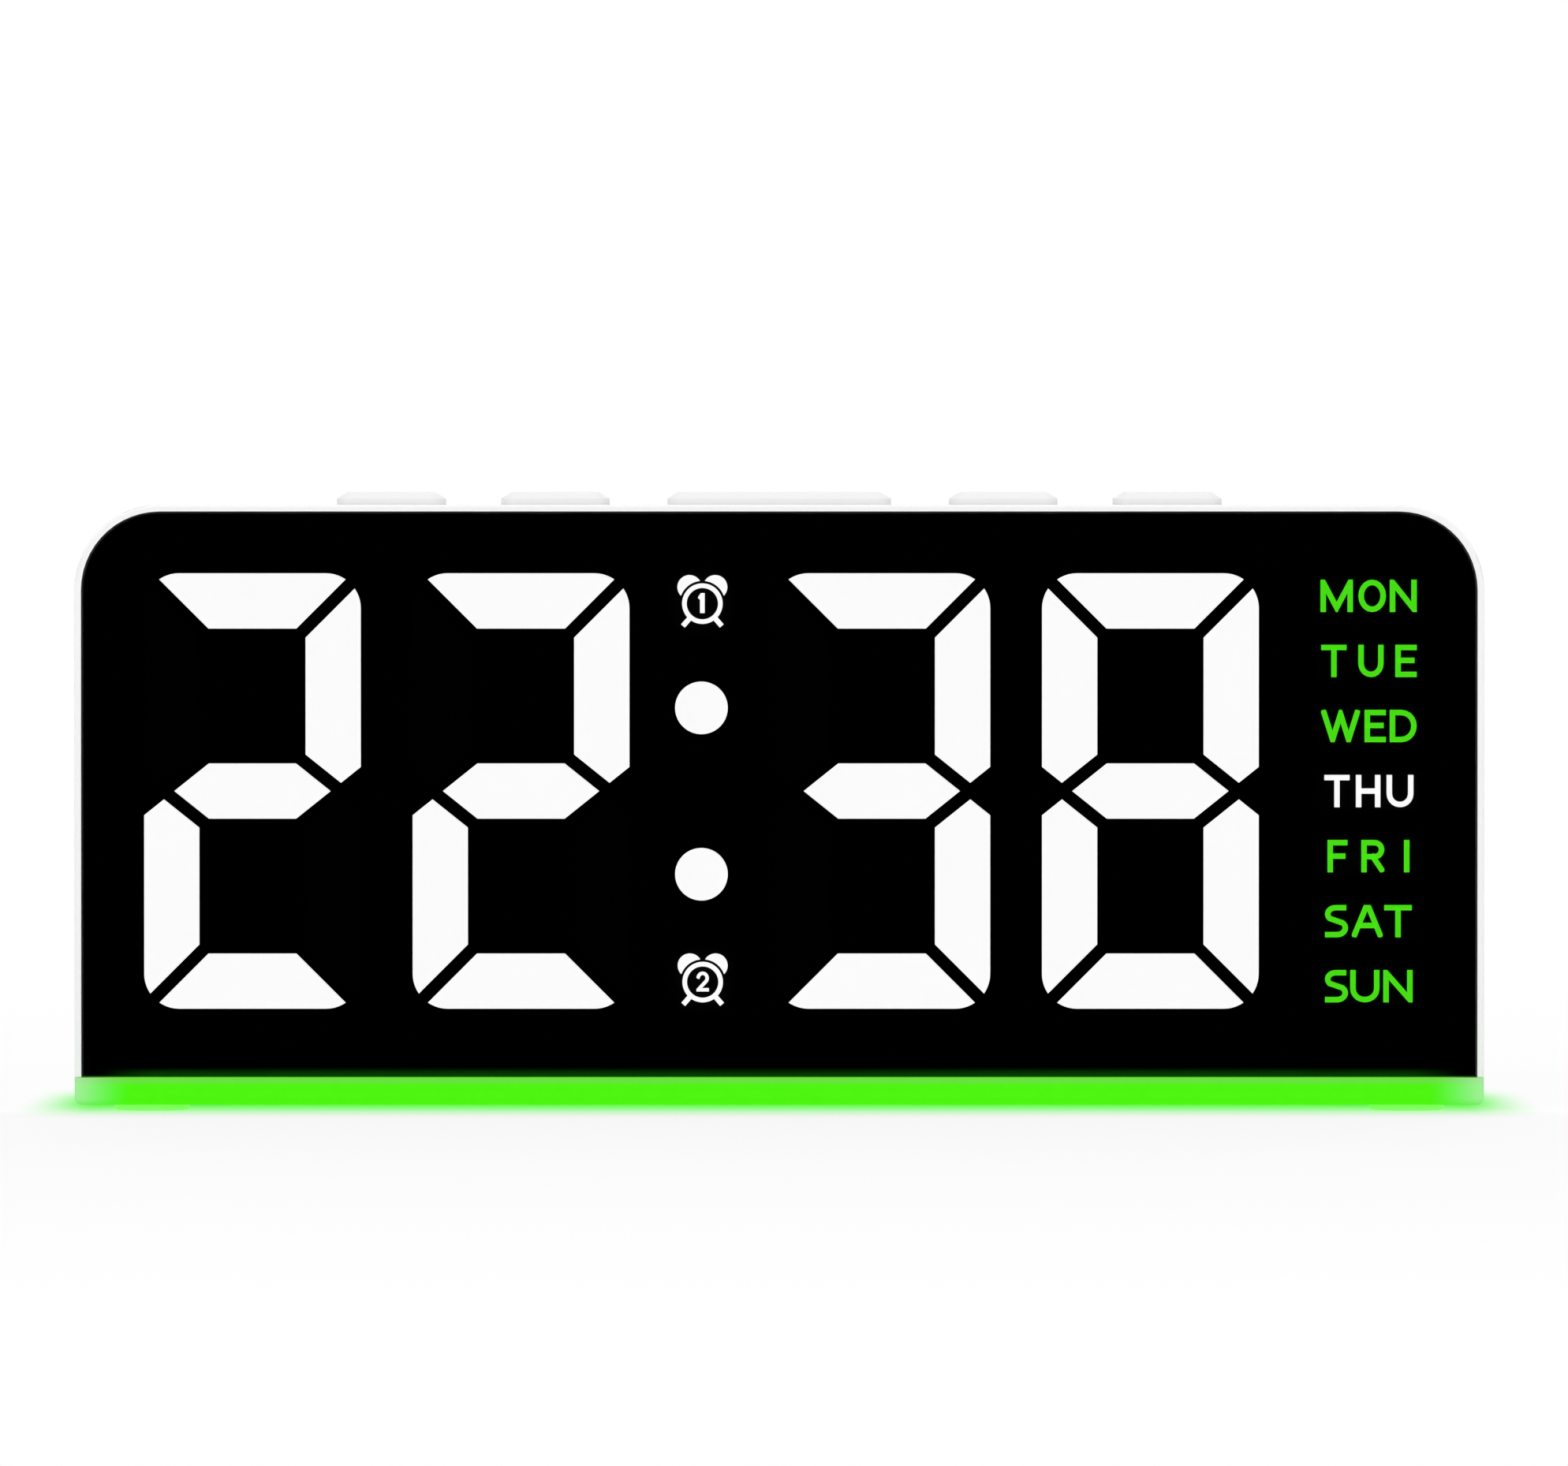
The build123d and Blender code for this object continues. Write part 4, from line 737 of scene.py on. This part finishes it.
node_finishes["supply_capacitor"] = two_part_finish("capacitor_sleeve", black_plastic, aluminium, can_end)
chip_low, chip_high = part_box("controller_chip")
package = slab(low_z=chip_low.z + lead_reach, high_z=chip_high.z - lead_reach)
node_finishes["controller_chip"] = two_part_finish("controller_package", steel, black_plastic, package)
for name in ("key_board", "power_board"):
    node_finishes[name] = finishes["board_green_level"]
print("Nodes with a finish of their own:", len(node_finishes))

# %% [markdown]
# ### One finish for each node
#
# A few slots share a finish with another part. All others find the finish that has their own name.

# %% Give every CAD node its finish
slot_finishes = {
    "segment_white": "segment_lit",
    "symbol_window": "symbol_white",
    "cell_label": "frame_black",
}
for name, node in nodes.items():
    slot_name = node.data.materials[0].name.split(".")[0]
    finish = node_finishes.get(name) or finishes[slot_finishes.get(slot_name, slot_name)]
    node.material_slots[0].material = finish
    print(f"{name}: {finish.name}")

# %% [markdown]
# ## Making new pieces
#
# A new piece starts as a bmesh, gets its shape from bmesh operators, and ends as an object at the origin
# that rides on a CAD body. The first helper does the last part the same way for all: normals outward, one
# material, the body it moves with, and the CAD nodes that it stands for. The others join two shapes, give a
# flat one its thickness, round off a front edge, and find the middle of a CAD node.

# %% Piece helpers
same_place = 0.01 * mm
merge_distance = 0.001 * mm


def add_piece(name, bm, finish, body, slot, *replaced):
    """Turn a bmesh into a named piece that rides a CAD body."""
    bmesh.ops.recalc_face_normals(bm, faces=bm.faces)
    piece = add_object(name, bm, finish)
    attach(piece, body)
    if replaced:
        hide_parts(*replaced)
    print(f"{name}: {len(piece.data.polygons)} faces")


def join_into(whole, part):
    """Move the faces of one bmesh into another."""
    mesh = bpy.data.meshes.new("part")
    part.to_mesh(mesh)
    part.free()
    whole.from_mesh(mesh)
    bpy.data.meshes.remove(mesh)


def thicken(bm, depth):
    """Give flat faces that look towards the viewer a thickness away from the viewer."""
    made = bmesh.ops.extrude_face_region(bm, geom=list(bm.faces))
    moved = [item for item in made["geom"] if isinstance(item, bmesh.types.BMVert)]
    bmesh.ops.translate(bm, verts=moved, vec=(0, depth, 0))


def round_front(bm, front_y, width):
    """Round off the edges that lie in the front plane."""
    rim = [edge for edge in bm.edges if all(abs(vert.co.y - front_y) < same_place for vert in edge.verts)]
    bmesh.ops.bevel(
        bm,
        geom=rim,
        offset=width,
        offset_type="OFFSET",
        segments=2,
        profile=0.5,
        affect="EDGES",
        material=-1,
    )


def box_middle(name):
    """The middle of a CAD node's box."""
    return [(low + high) / 2 for low, high in zip(*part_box(name))]


print("Piece helpers are ready")

# %% [markdown]
# ## The digits
#
# Each digit is seven blocks of milky plastic. The CAD node has their exact outlines, so the new pieces start
# from a copy of its mesh with the loose triangles merged. The blocks are sorted by where they lie in the
# digit, and the time on the display says which are lit. Lit and unlit blocks become separate pieces, because
# they have separate finishes, and their front rims get the small round edge that moulded light guides have.

# %% Blocks of a digit
segment_places = {
    "upper": (0, 1),
    "lower": (0, -1),
    "middle": (0, 0),
    "upper_right": (1, 0.5),
    "upper_left": (-1, 0.5),
    "lower_right": (1, -0.5),
    "lower_left": (-1, -0.5),
}
flat_angle = math.radians(0.5)


def merged_copy(name):
    """A bmesh of a CAD node with its loose triangles joined into whole flat faces."""
    bm = bmesh.new()
    bm.from_mesh(nodes[name].data)
    bmesh.ops.remove_doubles(bm, verts=bm.verts, dist=merge_distance)
    bmesh.ops.dissolve_limit(bm, angle_limit=flat_angle, verts=bm.verts, edges=bm.edges)
    return bm


def solids(bm):
    """Groups of faces that hang together, one for each solid."""
    left = set(bm.faces)
    groups = []
    while left:
        todo = [left.pop()]
        group = list(todo)
        while todo:
            joined = {face for edge in todo.pop().edges for face in edge.link_faces} & left
            left -= joined
            todo += joined
            group += joined
        groups.append(group)
    return groups


def segment_name(group, low, high):
    """The place in the digit of one solid."""
    corners = [vert.co for face in group for vert in face.verts]
    x = (min(c.x for c in corners) + max(c.x for c in corners) - low.x - high.x) / (high.x - low.x)
    z = (min(c.z for c in corners) + max(c.z for c in corners) - low.z - high.z) / (high.z - low.z)
    return min(segment_places, key=lambda name: math.dist(segment_places[name], (x, z)))


print("Places in a digit:", ", ".join(segment_places))

# %% Digits
shown_time = "2238"
lit_segments = {
    "2": ("upper", "upper_right", "middle", "lower_left", "lower"),
    "3": ("upper", "upper_right", "middle", "lower_right", "lower"),
    "8": ("upper", "upper_right", "upper_left", "middle", "lower_left", "lower_right", "lower"),
}
rim_round = 0.12 * mm
for digit_number, figure in enumerate(shown_time, 1):
    node_name = f"digit_{digit_number}_segments"
    low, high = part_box(node_name)
    # Unlit blocks get window_black: milky plastic painted near-black, painted shade for the dark behind the
    # lens.
    for look, finish in (("lit", "segment_lit"), ("unlit", "window_black")):
        bm = merged_copy(node_name)
        unwanted = [
            face
            for group in solids(bm)
            if (segment_name(group, low, high) in lit_segments[figure]) != (look == "lit")
            for face in group
        ]
        bmesh.ops.delete(bm, geom=unwanted, context="FACES")
        if not bm.faces:
            bm.free()
            continue
        round_front(bm, low.y, rim_round)
        add_piece(f"digit_{digit_number}_{look}", bm, finish, "case", "segment_white", node_name)

# %% [markdown]
# ## Lettering from strokes
#
# The weekday names are set in a plain wide sans with strokes of one width. Blender's own font has other
# proportions, and its outline breaks when it is made bolder. So each letter is drawn as a signmaker would:
# paths in a unit square, a band of even width along each path, and the letter's box cutting the ends off
# flat. The joints between bands are mitred, which is what a sharp corner of a drawn letter looks like.

# %% Letter paths
arc_steps = 10


def arc(x, z, width, height, start, end, steps=arc_steps):
    """Points along part of an ellipse, from one angle in degrees to another."""
    angles = [math.radians(start + (end - start) * i / steps) for i in range(steps + 1)]
    return [(x + width * math.cos(angle), z + height * math.sin(angle)) for angle in angles]


letter_paths = {
    "A": [[(0, 0), (0.44, 1), (0.56, 1), (1, 0)], [(0.24, 0.34), (0.76, 0.34)]],
    "D": [[(0.2, 0), (0, 0), (0, 1), (0.2, 1)] + arc(0.42, 0.5, 0.58, 0.5, 90, -90) + [(0.2, 0)]],
    "E": [[(1, 1), (0, 1), (0, 0), (1, 0)], [(0.1, 0.52), (0.86, 0.52)]],
    "F": [[(1, 1), (0, 1), (0, 0)], [(0.1, 0.5), (0.86, 0.5)]],
    "H": [[(0, 0), (0, 1)], [(1, 0), (1, 1)], [(0.1, 0.5), (0.9, 0.5)]],
    "I": [[(0.5, 0), (0.5, 1)]],
    "M": [[(0, 0), (0, 1), (0.5, 0.06), (1, 1), (1, 0)]],
    "N": [[(0, 0), (0, 1), (1, 0), (1, 1)]],
    "O": [arc(0.5, 0.5, 0.5, 0.5, 90, -270, 2 * arc_steps)],
    "R": [
        [(0, 0), (0, 1), (0.5, 1)] + arc(0.6, 0.74, 0.4, 0.26, 90, -90) + [(0.1, 0.48)],
        [(0.5, 0.48), (1, 0)],
    ],
    "S": [
        [(0.9, 1), (0.5, 1)]
        + arc(0.45, 0.76, 0.45, 0.24, 95, 222)
        + arc(0.53, 0.25, 0.47, 0.25, 48, -85)
        + [(0.45, 0), (0, 0)]
    ],
    "T": [[(0, 1), (1, 1)], [(0.5, 0.9), (0.5, 0)]],
    "U": [[(0, 1), (0, 0.42)] + arc(0.5, 0.4, 0.5, 0.4, 180, 360) + [(1, 0.42), (1, 1)]],
    "W": [[(0, 1), (0.26, 0), (0.5, 0.94), (0.74, 0), (1, 1)]],
    "1": [[(0.0, 0.84), (0.37, 1), (0.37, 0)], [(0.63, 1), (0.63, 0)]],
    "2": [arc(0.5, 0.7, 0.5, 0.3, 165, -30) + [(0.0, 0.0), (1.0, 0.0)]],
}
print("Letters:", " ".join(letter_paths))

# %% Bands along the paths
letter_depth = 0.24 * mm
mitre_limit = 0.12  # keeps the corner of a very sharp joint from running far out


def add_band(bm, points, closed, width):
    """Add a flat band of even width along a path of (x, z) points, with mitred joints and square ends."""
    count = len(points)
    half = width / 2
    edges = []
    for i, point in enumerate(points):
        here = Vector(point)
        before = Vector(points[i - 1]) if closed or i > 0 else None
        after = Vector(points[(i + 1) % count]) if closed or i < count - 1 else None
        ways = []
        if before is not None:
            ways.append((here - before).normalized())
        if after is not None:
            ways.append((after - here).normalized())
        normals = [Vector((-way.y, way.x)) for way in ways]
        across = (normals[0] + normals[-1]).normalized()
        across *= half / max(across.dot(normals[-1]), mitre_limit)
        if before is None:
            here -= ways[0] * half
        if after is None:
            here += ways[0] * half
        edges.append([bm.verts.new((spot.x, 0, spot.y)) for spot in (here - across, here + across)])
    for i in range(count if closed else count - 1):
        (a, b), (c, d) = edges[i], edges[(i + 1) % count]
        bm.faces.new((a, c, d, b))


def add_letter(bm, letter, corner, size, stroke):
    """Add one letter by its lower left front corner, its width and height, and its strokes' width."""
    width, height = size
    letter_bm = bmesh.new()
    for path in letter_paths[letter]:
        points = [(stroke / 2 + u * (width - stroke), stroke / 2 + v * (height - stroke)) for u, v in path]
        closed = math.dist(points[0], points[-1]) < same_place
        add_band(letter_bm, points[:-1] if closed else points, closed, stroke)
    for place, outward in (
        ((0, 0, 0), (-1, 0, 0)),
        ((width, 0, 0), (1, 0, 0)),
        ((0, 0, 0), (0, 0, -1)),
        ((0, 0, height), (0, 0, 1)),
    ):
        whole = list(letter_bm.verts) + list(letter_bm.edges) + list(letter_bm.faces)
        bmesh.ops.bisect_plane(letter_bm, geom=whole, plane_co=place, plane_no=outward, clear_outer=True)
    thicken(letter_bm, letter_depth)
    bmesh.ops.translate(letter_bm, verts=letter_bm.verts, vec=corner)
    join_into(bm, letter_bm)


print("Band and letter makers are ready")

# %% [markdown]
# ## The weekday names
#
# Behind each name is an opaque black block with the letters open in it. Seven small blocks stand for the CAD
# windows, and the letters are thin lit shapes on their fronts, just behind the lens. Each letter's place
# along its line follows the photograph. Today's name is white, the others are green.

# %% Weekday names
letter_height = 3.44 * mm
letter_stroke = 0.57 * mm
block_round = 0.2 * mm
today = "THU"
# for each letter: its left edge from the middle of the line, and its width, in mm
weekday_letters = {
    "MON": ((-5.04, 3.44), (-1.01, 2.93), (2.34, 2.86)),
    "TUE": ((-4.96, 2.69), (-1.01, 2.68), (2.93, 2.27)),
    "WED": ((-4.96, 4.12), (-0.34, 2.26), (2.34, 2.86)),
    "THU": ((-4.62, 2.68), (-1.26, 2.6), (2.01, 2.85)),
    "FRI": ((-4.28, 2.12), (-0.68, 2.44), (3.82, 0.66)),
    "SAT": ((-4.54, 2.44), (-1.68, 3.27), (1.76, 2.93)),
    "SUN": ((-4.54, 2.44), (-1.85, 3.1), (1.67, 3.11)),
}
weekday_low, weekday_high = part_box("weekday_windows")
weekday_x, weekday_y = box_middle("weekday_windows")[:2]
window_height = 4.4 * mm
weekday_step = (weekday_high.z - weekday_low.z - window_height) / (len(weekday_letters) - 1)
row_heights = {
    name: weekday_high.z - window_height / 2 - weekday_step * i for i, name in enumerate(weekday_letters)
}


def add_block(bm, middle, size, tilt=0):
    """Add a box by its middle and its three sizes, tilted by some degrees in the front view."""
    verts = bmesh.ops.create_cube(bm, size=1.0)["verts"]
    bmesh.ops.scale(bm, verts=verts, vec=size)
    bmesh.ops.rotate(bm, verts=verts, matrix=Matrix.Rotation(math.radians(tilt), 3, "Y"))
    bmesh.ops.translate(bm, verts=verts, vec=middle)


blocks = bmesh.new()
block_size = (weekday_high.x - weekday_low.x, weekday_high.y - weekday_low.y, window_height)
for height in row_heights.values():
    add_block(blocks, (weekday_x, weekday_y, height), block_size)
round_front(blocks, weekday_low.y, block_round)
add_piece("weekday_blocks", blocks, "window_black", "case", "weekday_green", "weekday_windows")

for piece_name, names, finish, slot in (
    ("weekday_names", [name for name in weekday_letters if name != today], "weekday_green", "weekday_green"),
    ("weekday_today", [today], "symbol_white", "symbol_window"),
):
    letters = bmesh.new()
    for name in names:
        foot = row_heights[name] - letter_height / 2
        for letter, (left, width) in zip(name, weekday_letters[name]):
            corner = (weekday_x + left * mm, weekday_low.y - letter_depth, foot)
            add_letter(letters, letter, corner, (width * mm, letter_height), letter_stroke)
    add_piece(piece_name, letters, finish, "case", slot)

# %% [markdown]
# ## The alarm pictograms
#
# Over and under the colon stands a small twin-bell clock, with a 1 and a 2 in its dial. Its ring is a bridge
# between two circles. Each bell is a disc cut back by a circle a little larger than the ring, which leaves
# the thin dark gap between them. Where the two circles cross follows from their radii and their distance, so
# the bell's outline is one arc of each. The feet are short turned bars.

# %% Pictogram shapes
ring_outer = 2.16 * mm
ring_inner = 1.67 * mm
ring_steps = 48
bell_gap = 0.27 * mm
bell_place = (1.37 * mm, 1.76 * mm)
bell_radius = 1.29 * mm
bell_steps = 24
foot_reach = 2.6 * mm
foot_angle = 49  # degrees below the level
foot_length = 1.1 * mm
foot_width = 0.54 * mm
numeral_height = 2.12 * mm
numeral_lift = 0.06 * mm
numeral_widths = {"1": 0.9 * mm, "2": 1.32 * mm}
numeral_stroke = 0.36 * mm


def bell_outline(side):
    """Points round one bell, from the middle of the ring: its own outer arc, then back along the gap."""
    gap_radius = ring_outer + bell_gap
    distance = math.hypot(*bell_place)
    crossing = (gap_radius**2 - bell_radius**2 + distance**2) / (2 * distance)
    gap_half = math.degrees(math.acos(crossing / gap_radius))
    bell_half = math.degrees(math.acos((crossing - distance) / bell_radius))
    bell_x, bell_z = side * bell_place[0], bell_place[1]
    way = math.degrees(math.atan2(bell_z, bell_x))
    outer = arc(bell_x, bell_z, bell_radius, bell_radius, way - bell_half, way + bell_half, bell_steps)
    inner = arc(0, 0, gap_radius, gap_radius, way + gap_half, way - gap_half, bell_steps)
    return outer + inner[1:-1]


def add_icon(bm, numeral, middle):
    """Add one pictogram by the middle of its ring's front."""
    icon = bmesh.new()
    for radius in (ring_outer, ring_inner):
        bmesh.ops.create_circle(icon, cap_ends=False, radius=radius, segments=ring_steps)
    bmesh.ops.bridge_loops(icon, edges=icon.edges)
    for side in (-1, 1):
        icon.faces.new([icon.verts.new((bell_x, bell_z, 0)) for bell_x, bell_z in bell_outline(side)])
    bmesh.ops.recalc_face_normals(icon, faces=icon.faces)
    bmesh.ops.rotate(icon, verts=icon.verts, matrix=Matrix.Rotation(math.radians(90), 3, "X"))
    bmesh.ops.reverse_faces(icon, faces=[face for face in icon.faces if face.normal.y > 0])
    thicken(icon, letter_depth)
    across = foot_reach * math.cos(math.radians(foot_angle))
    down = foot_reach * math.sin(math.radians(foot_angle))
    foot_size = (foot_length, letter_depth, foot_width)
    for side in (-1, 1):
        add_block(icon, (side * across, letter_depth / 2, -down), foot_size, side * foot_angle)
    width = numeral_widths[numeral]
    corner = (-width / 2, 0.0, numeral_lift - numeral_height / 2)
    add_letter(icon, numeral, corner, (width, numeral_height), numeral_stroke)
    bmesh.ops.translate(icon, verts=icon.verts, vec=middle)
    join_into(bm, icon)


print("A bell's outline has", len(bell_outline(1)), "points")

# %% Alarm pictograms
disc_steps = 64
ring_offsets = {"1": (0.1 * mm, -0.14 * mm), "2": (0.13 * mm, -0.25 * mm)}
alarm_low, alarm_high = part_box("alarm_windows")
alarm_x, alarm_y = box_middle("alarm_windows")[:2]
alarm_radius = (alarm_high.x - alarm_low.x) / 2
disc_heights = {"1": alarm_high.z - alarm_radius, "2": alarm_low.z + alarm_radius}
discs = bmesh.new()
for disc_z in disc_heights.values():
    bmesh.ops.create_cone(
        discs,
        cap_ends=True,
        radius1=alarm_radius,
        radius2=alarm_radius,
        depth=alarm_high.y - alarm_low.y,
        segments=disc_steps,
        matrix=Matrix.Translation((alarm_x, alarm_y, disc_z)) @ Matrix.Rotation(math.radians(90), 4, "X"),
    )
round_front(discs, alarm_low.y, block_round)
add_piece("alarm_discs", discs, "window_black", "case", "symbol_window", "alarm_windows")
icons = bmesh.new()
for numeral, disc_z in disc_heights.items():
    shift_x, shift_z = ring_offsets[numeral]
    middle = (alarm_x + shift_x, alarm_low.y - letter_depth, disc_z + shift_z)
    add_icon(icons, numeral, middle)
add_piece("alarm_pictograms", icons, "symbol_white", "case", "symbol_window")

# %% [markdown]
# ## The cells
#
# The three cells show when the battery door swings open. A real cell isn't a cylinder: its sleeve is rolled
# over both ends, the base has a shallow ring, and the button stands on a stepped cap. Such a turned shape is
# one profile spun about its axis. Each cell's button points the other way from its neighbour's, as in the
# CAD model.

# %% Cell label
label_start = 1.6 * mm
label_end = 42.4 * mm
band_start = 31.0 * mm
label_edge = 0.1 * mm
graphite = (0.018, 0.02, 0.024, 1)
copper = (0.55, 0.2, 0.07, 1)
ink_wear = 0.15


def cell_finish(name, base_x, button_way):
    """Shrink label: dark graphite with a copper-coloured band, and bare steel at both tips."""
    tree, shader = new_finish(name, {"IOR": 1.5, "Coat Weight": 0.3})
    along = calculate(tree, "SUBTRACT", object_position(tree)[1], base_x)
    along = calculate(tree, "MULTIPLY", along, button_way)
    past_start = ramp(tree, along, label_start, label_start + label_edge)
    before_end = ramp(tree, along, label_end, label_end + label_edge, 1.0, 0.0)
    labelled = calculate(tree, "MULTIPLY", past_start, before_end)
    band = ramp(tree, along, band_start, band_start + label_edge)
    film = place_group(tree, skin, {"Color": grey(0.5), "Mottle": 0.1, "Roughness": 0.3, "Grain": 2500.0})
    tin = place_group(tree, metal, {"Color": grey(0.7), "Stretch": (6000.0, 500.0, 500.0), "Roughness": 0.3})
    ink = mix_colors(tree, band, graphite, copper)
    ink = mix_colors(tree, calculate(tree, "MULTIPLY", film["Height"], ink_wear), ink, grey(0.3))
    sleeve = mix_colors(tree, labelled, tin["Color"], ink)
    shine = calculate(tree, "SUBTRACT", 1.0, labelled)
    feed_inputs(tree, shader, {"Base Color": sleeve, "Metallic": shine, "Roughness": film["Roughness"]})
    add_bump(tree, shader, film["Height"], line_depth)


print("The label is", round((label_end - label_start) / mm, 1), "mm long")

# %% Cells
# for each point: the way along the axis from the base, and the distance from the axis, in mm
base_profile = [(0.0, 0.0), (0.0, 3.1), (0.25, 3.35), (0.25, 3.75), (0.0, 4.0), (0.05, 4.75), (0.35, 5.1)]
sleeve_profile = [(0.8, 5.25), (42.7, 5.25), (43.2, 5.15), (43.5, 4.8), (43.55, 4.3), (43.3, 4.1)]
cap_profile = [(43.3, 3.2), (43.7, 3.0), (43.75, 1.95), (43.95, 1.8), (44.35, 1.75), (44.5, 1.5), (44.5, 0.0)]
cell_steps = 72
for cell_number in (1, 2, 3):
    node_name = f"battery_{cell_number}"
    finish = f"cell_label_{cell_number}"
    low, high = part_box(node_name)
    button_way = 1.0 if cell_number % 2 else -1.0
    base_x = low.x if button_way > 0 else high.x
    cell_finish(finish, base_x, button_way)
    _, axis_y, axis_z = box_middle(node_name)
    cell = bmesh.new()
    points = [
        cell.verts.new((base_x + button_way * along * mm, axis_y, axis_z + radius * mm))
        for along, radius in base_profile + sleeve_profile + cap_profile
    ]
    for first, second in zip(points, points[1:]):
        cell.edges.new((first, second))
    bmesh.ops.spin(
        cell,
        geom=list(cell.verts) + list(cell.edges),
        cent=(base_x, axis_y, axis_z),
        axis=(1, 0, 0),
        angle=math.radians(360),
        steps=cell_steps,
        use_merge=True,
    )
    bmesh.ops.remove_doubles(cell, verts=cell.verts, dist=merge_distance)
    for face in cell.faces:
        face.smooth = True
    add_piece(f"cell_{cell_number}", cell, finish, "case", "cell_label", node_name)
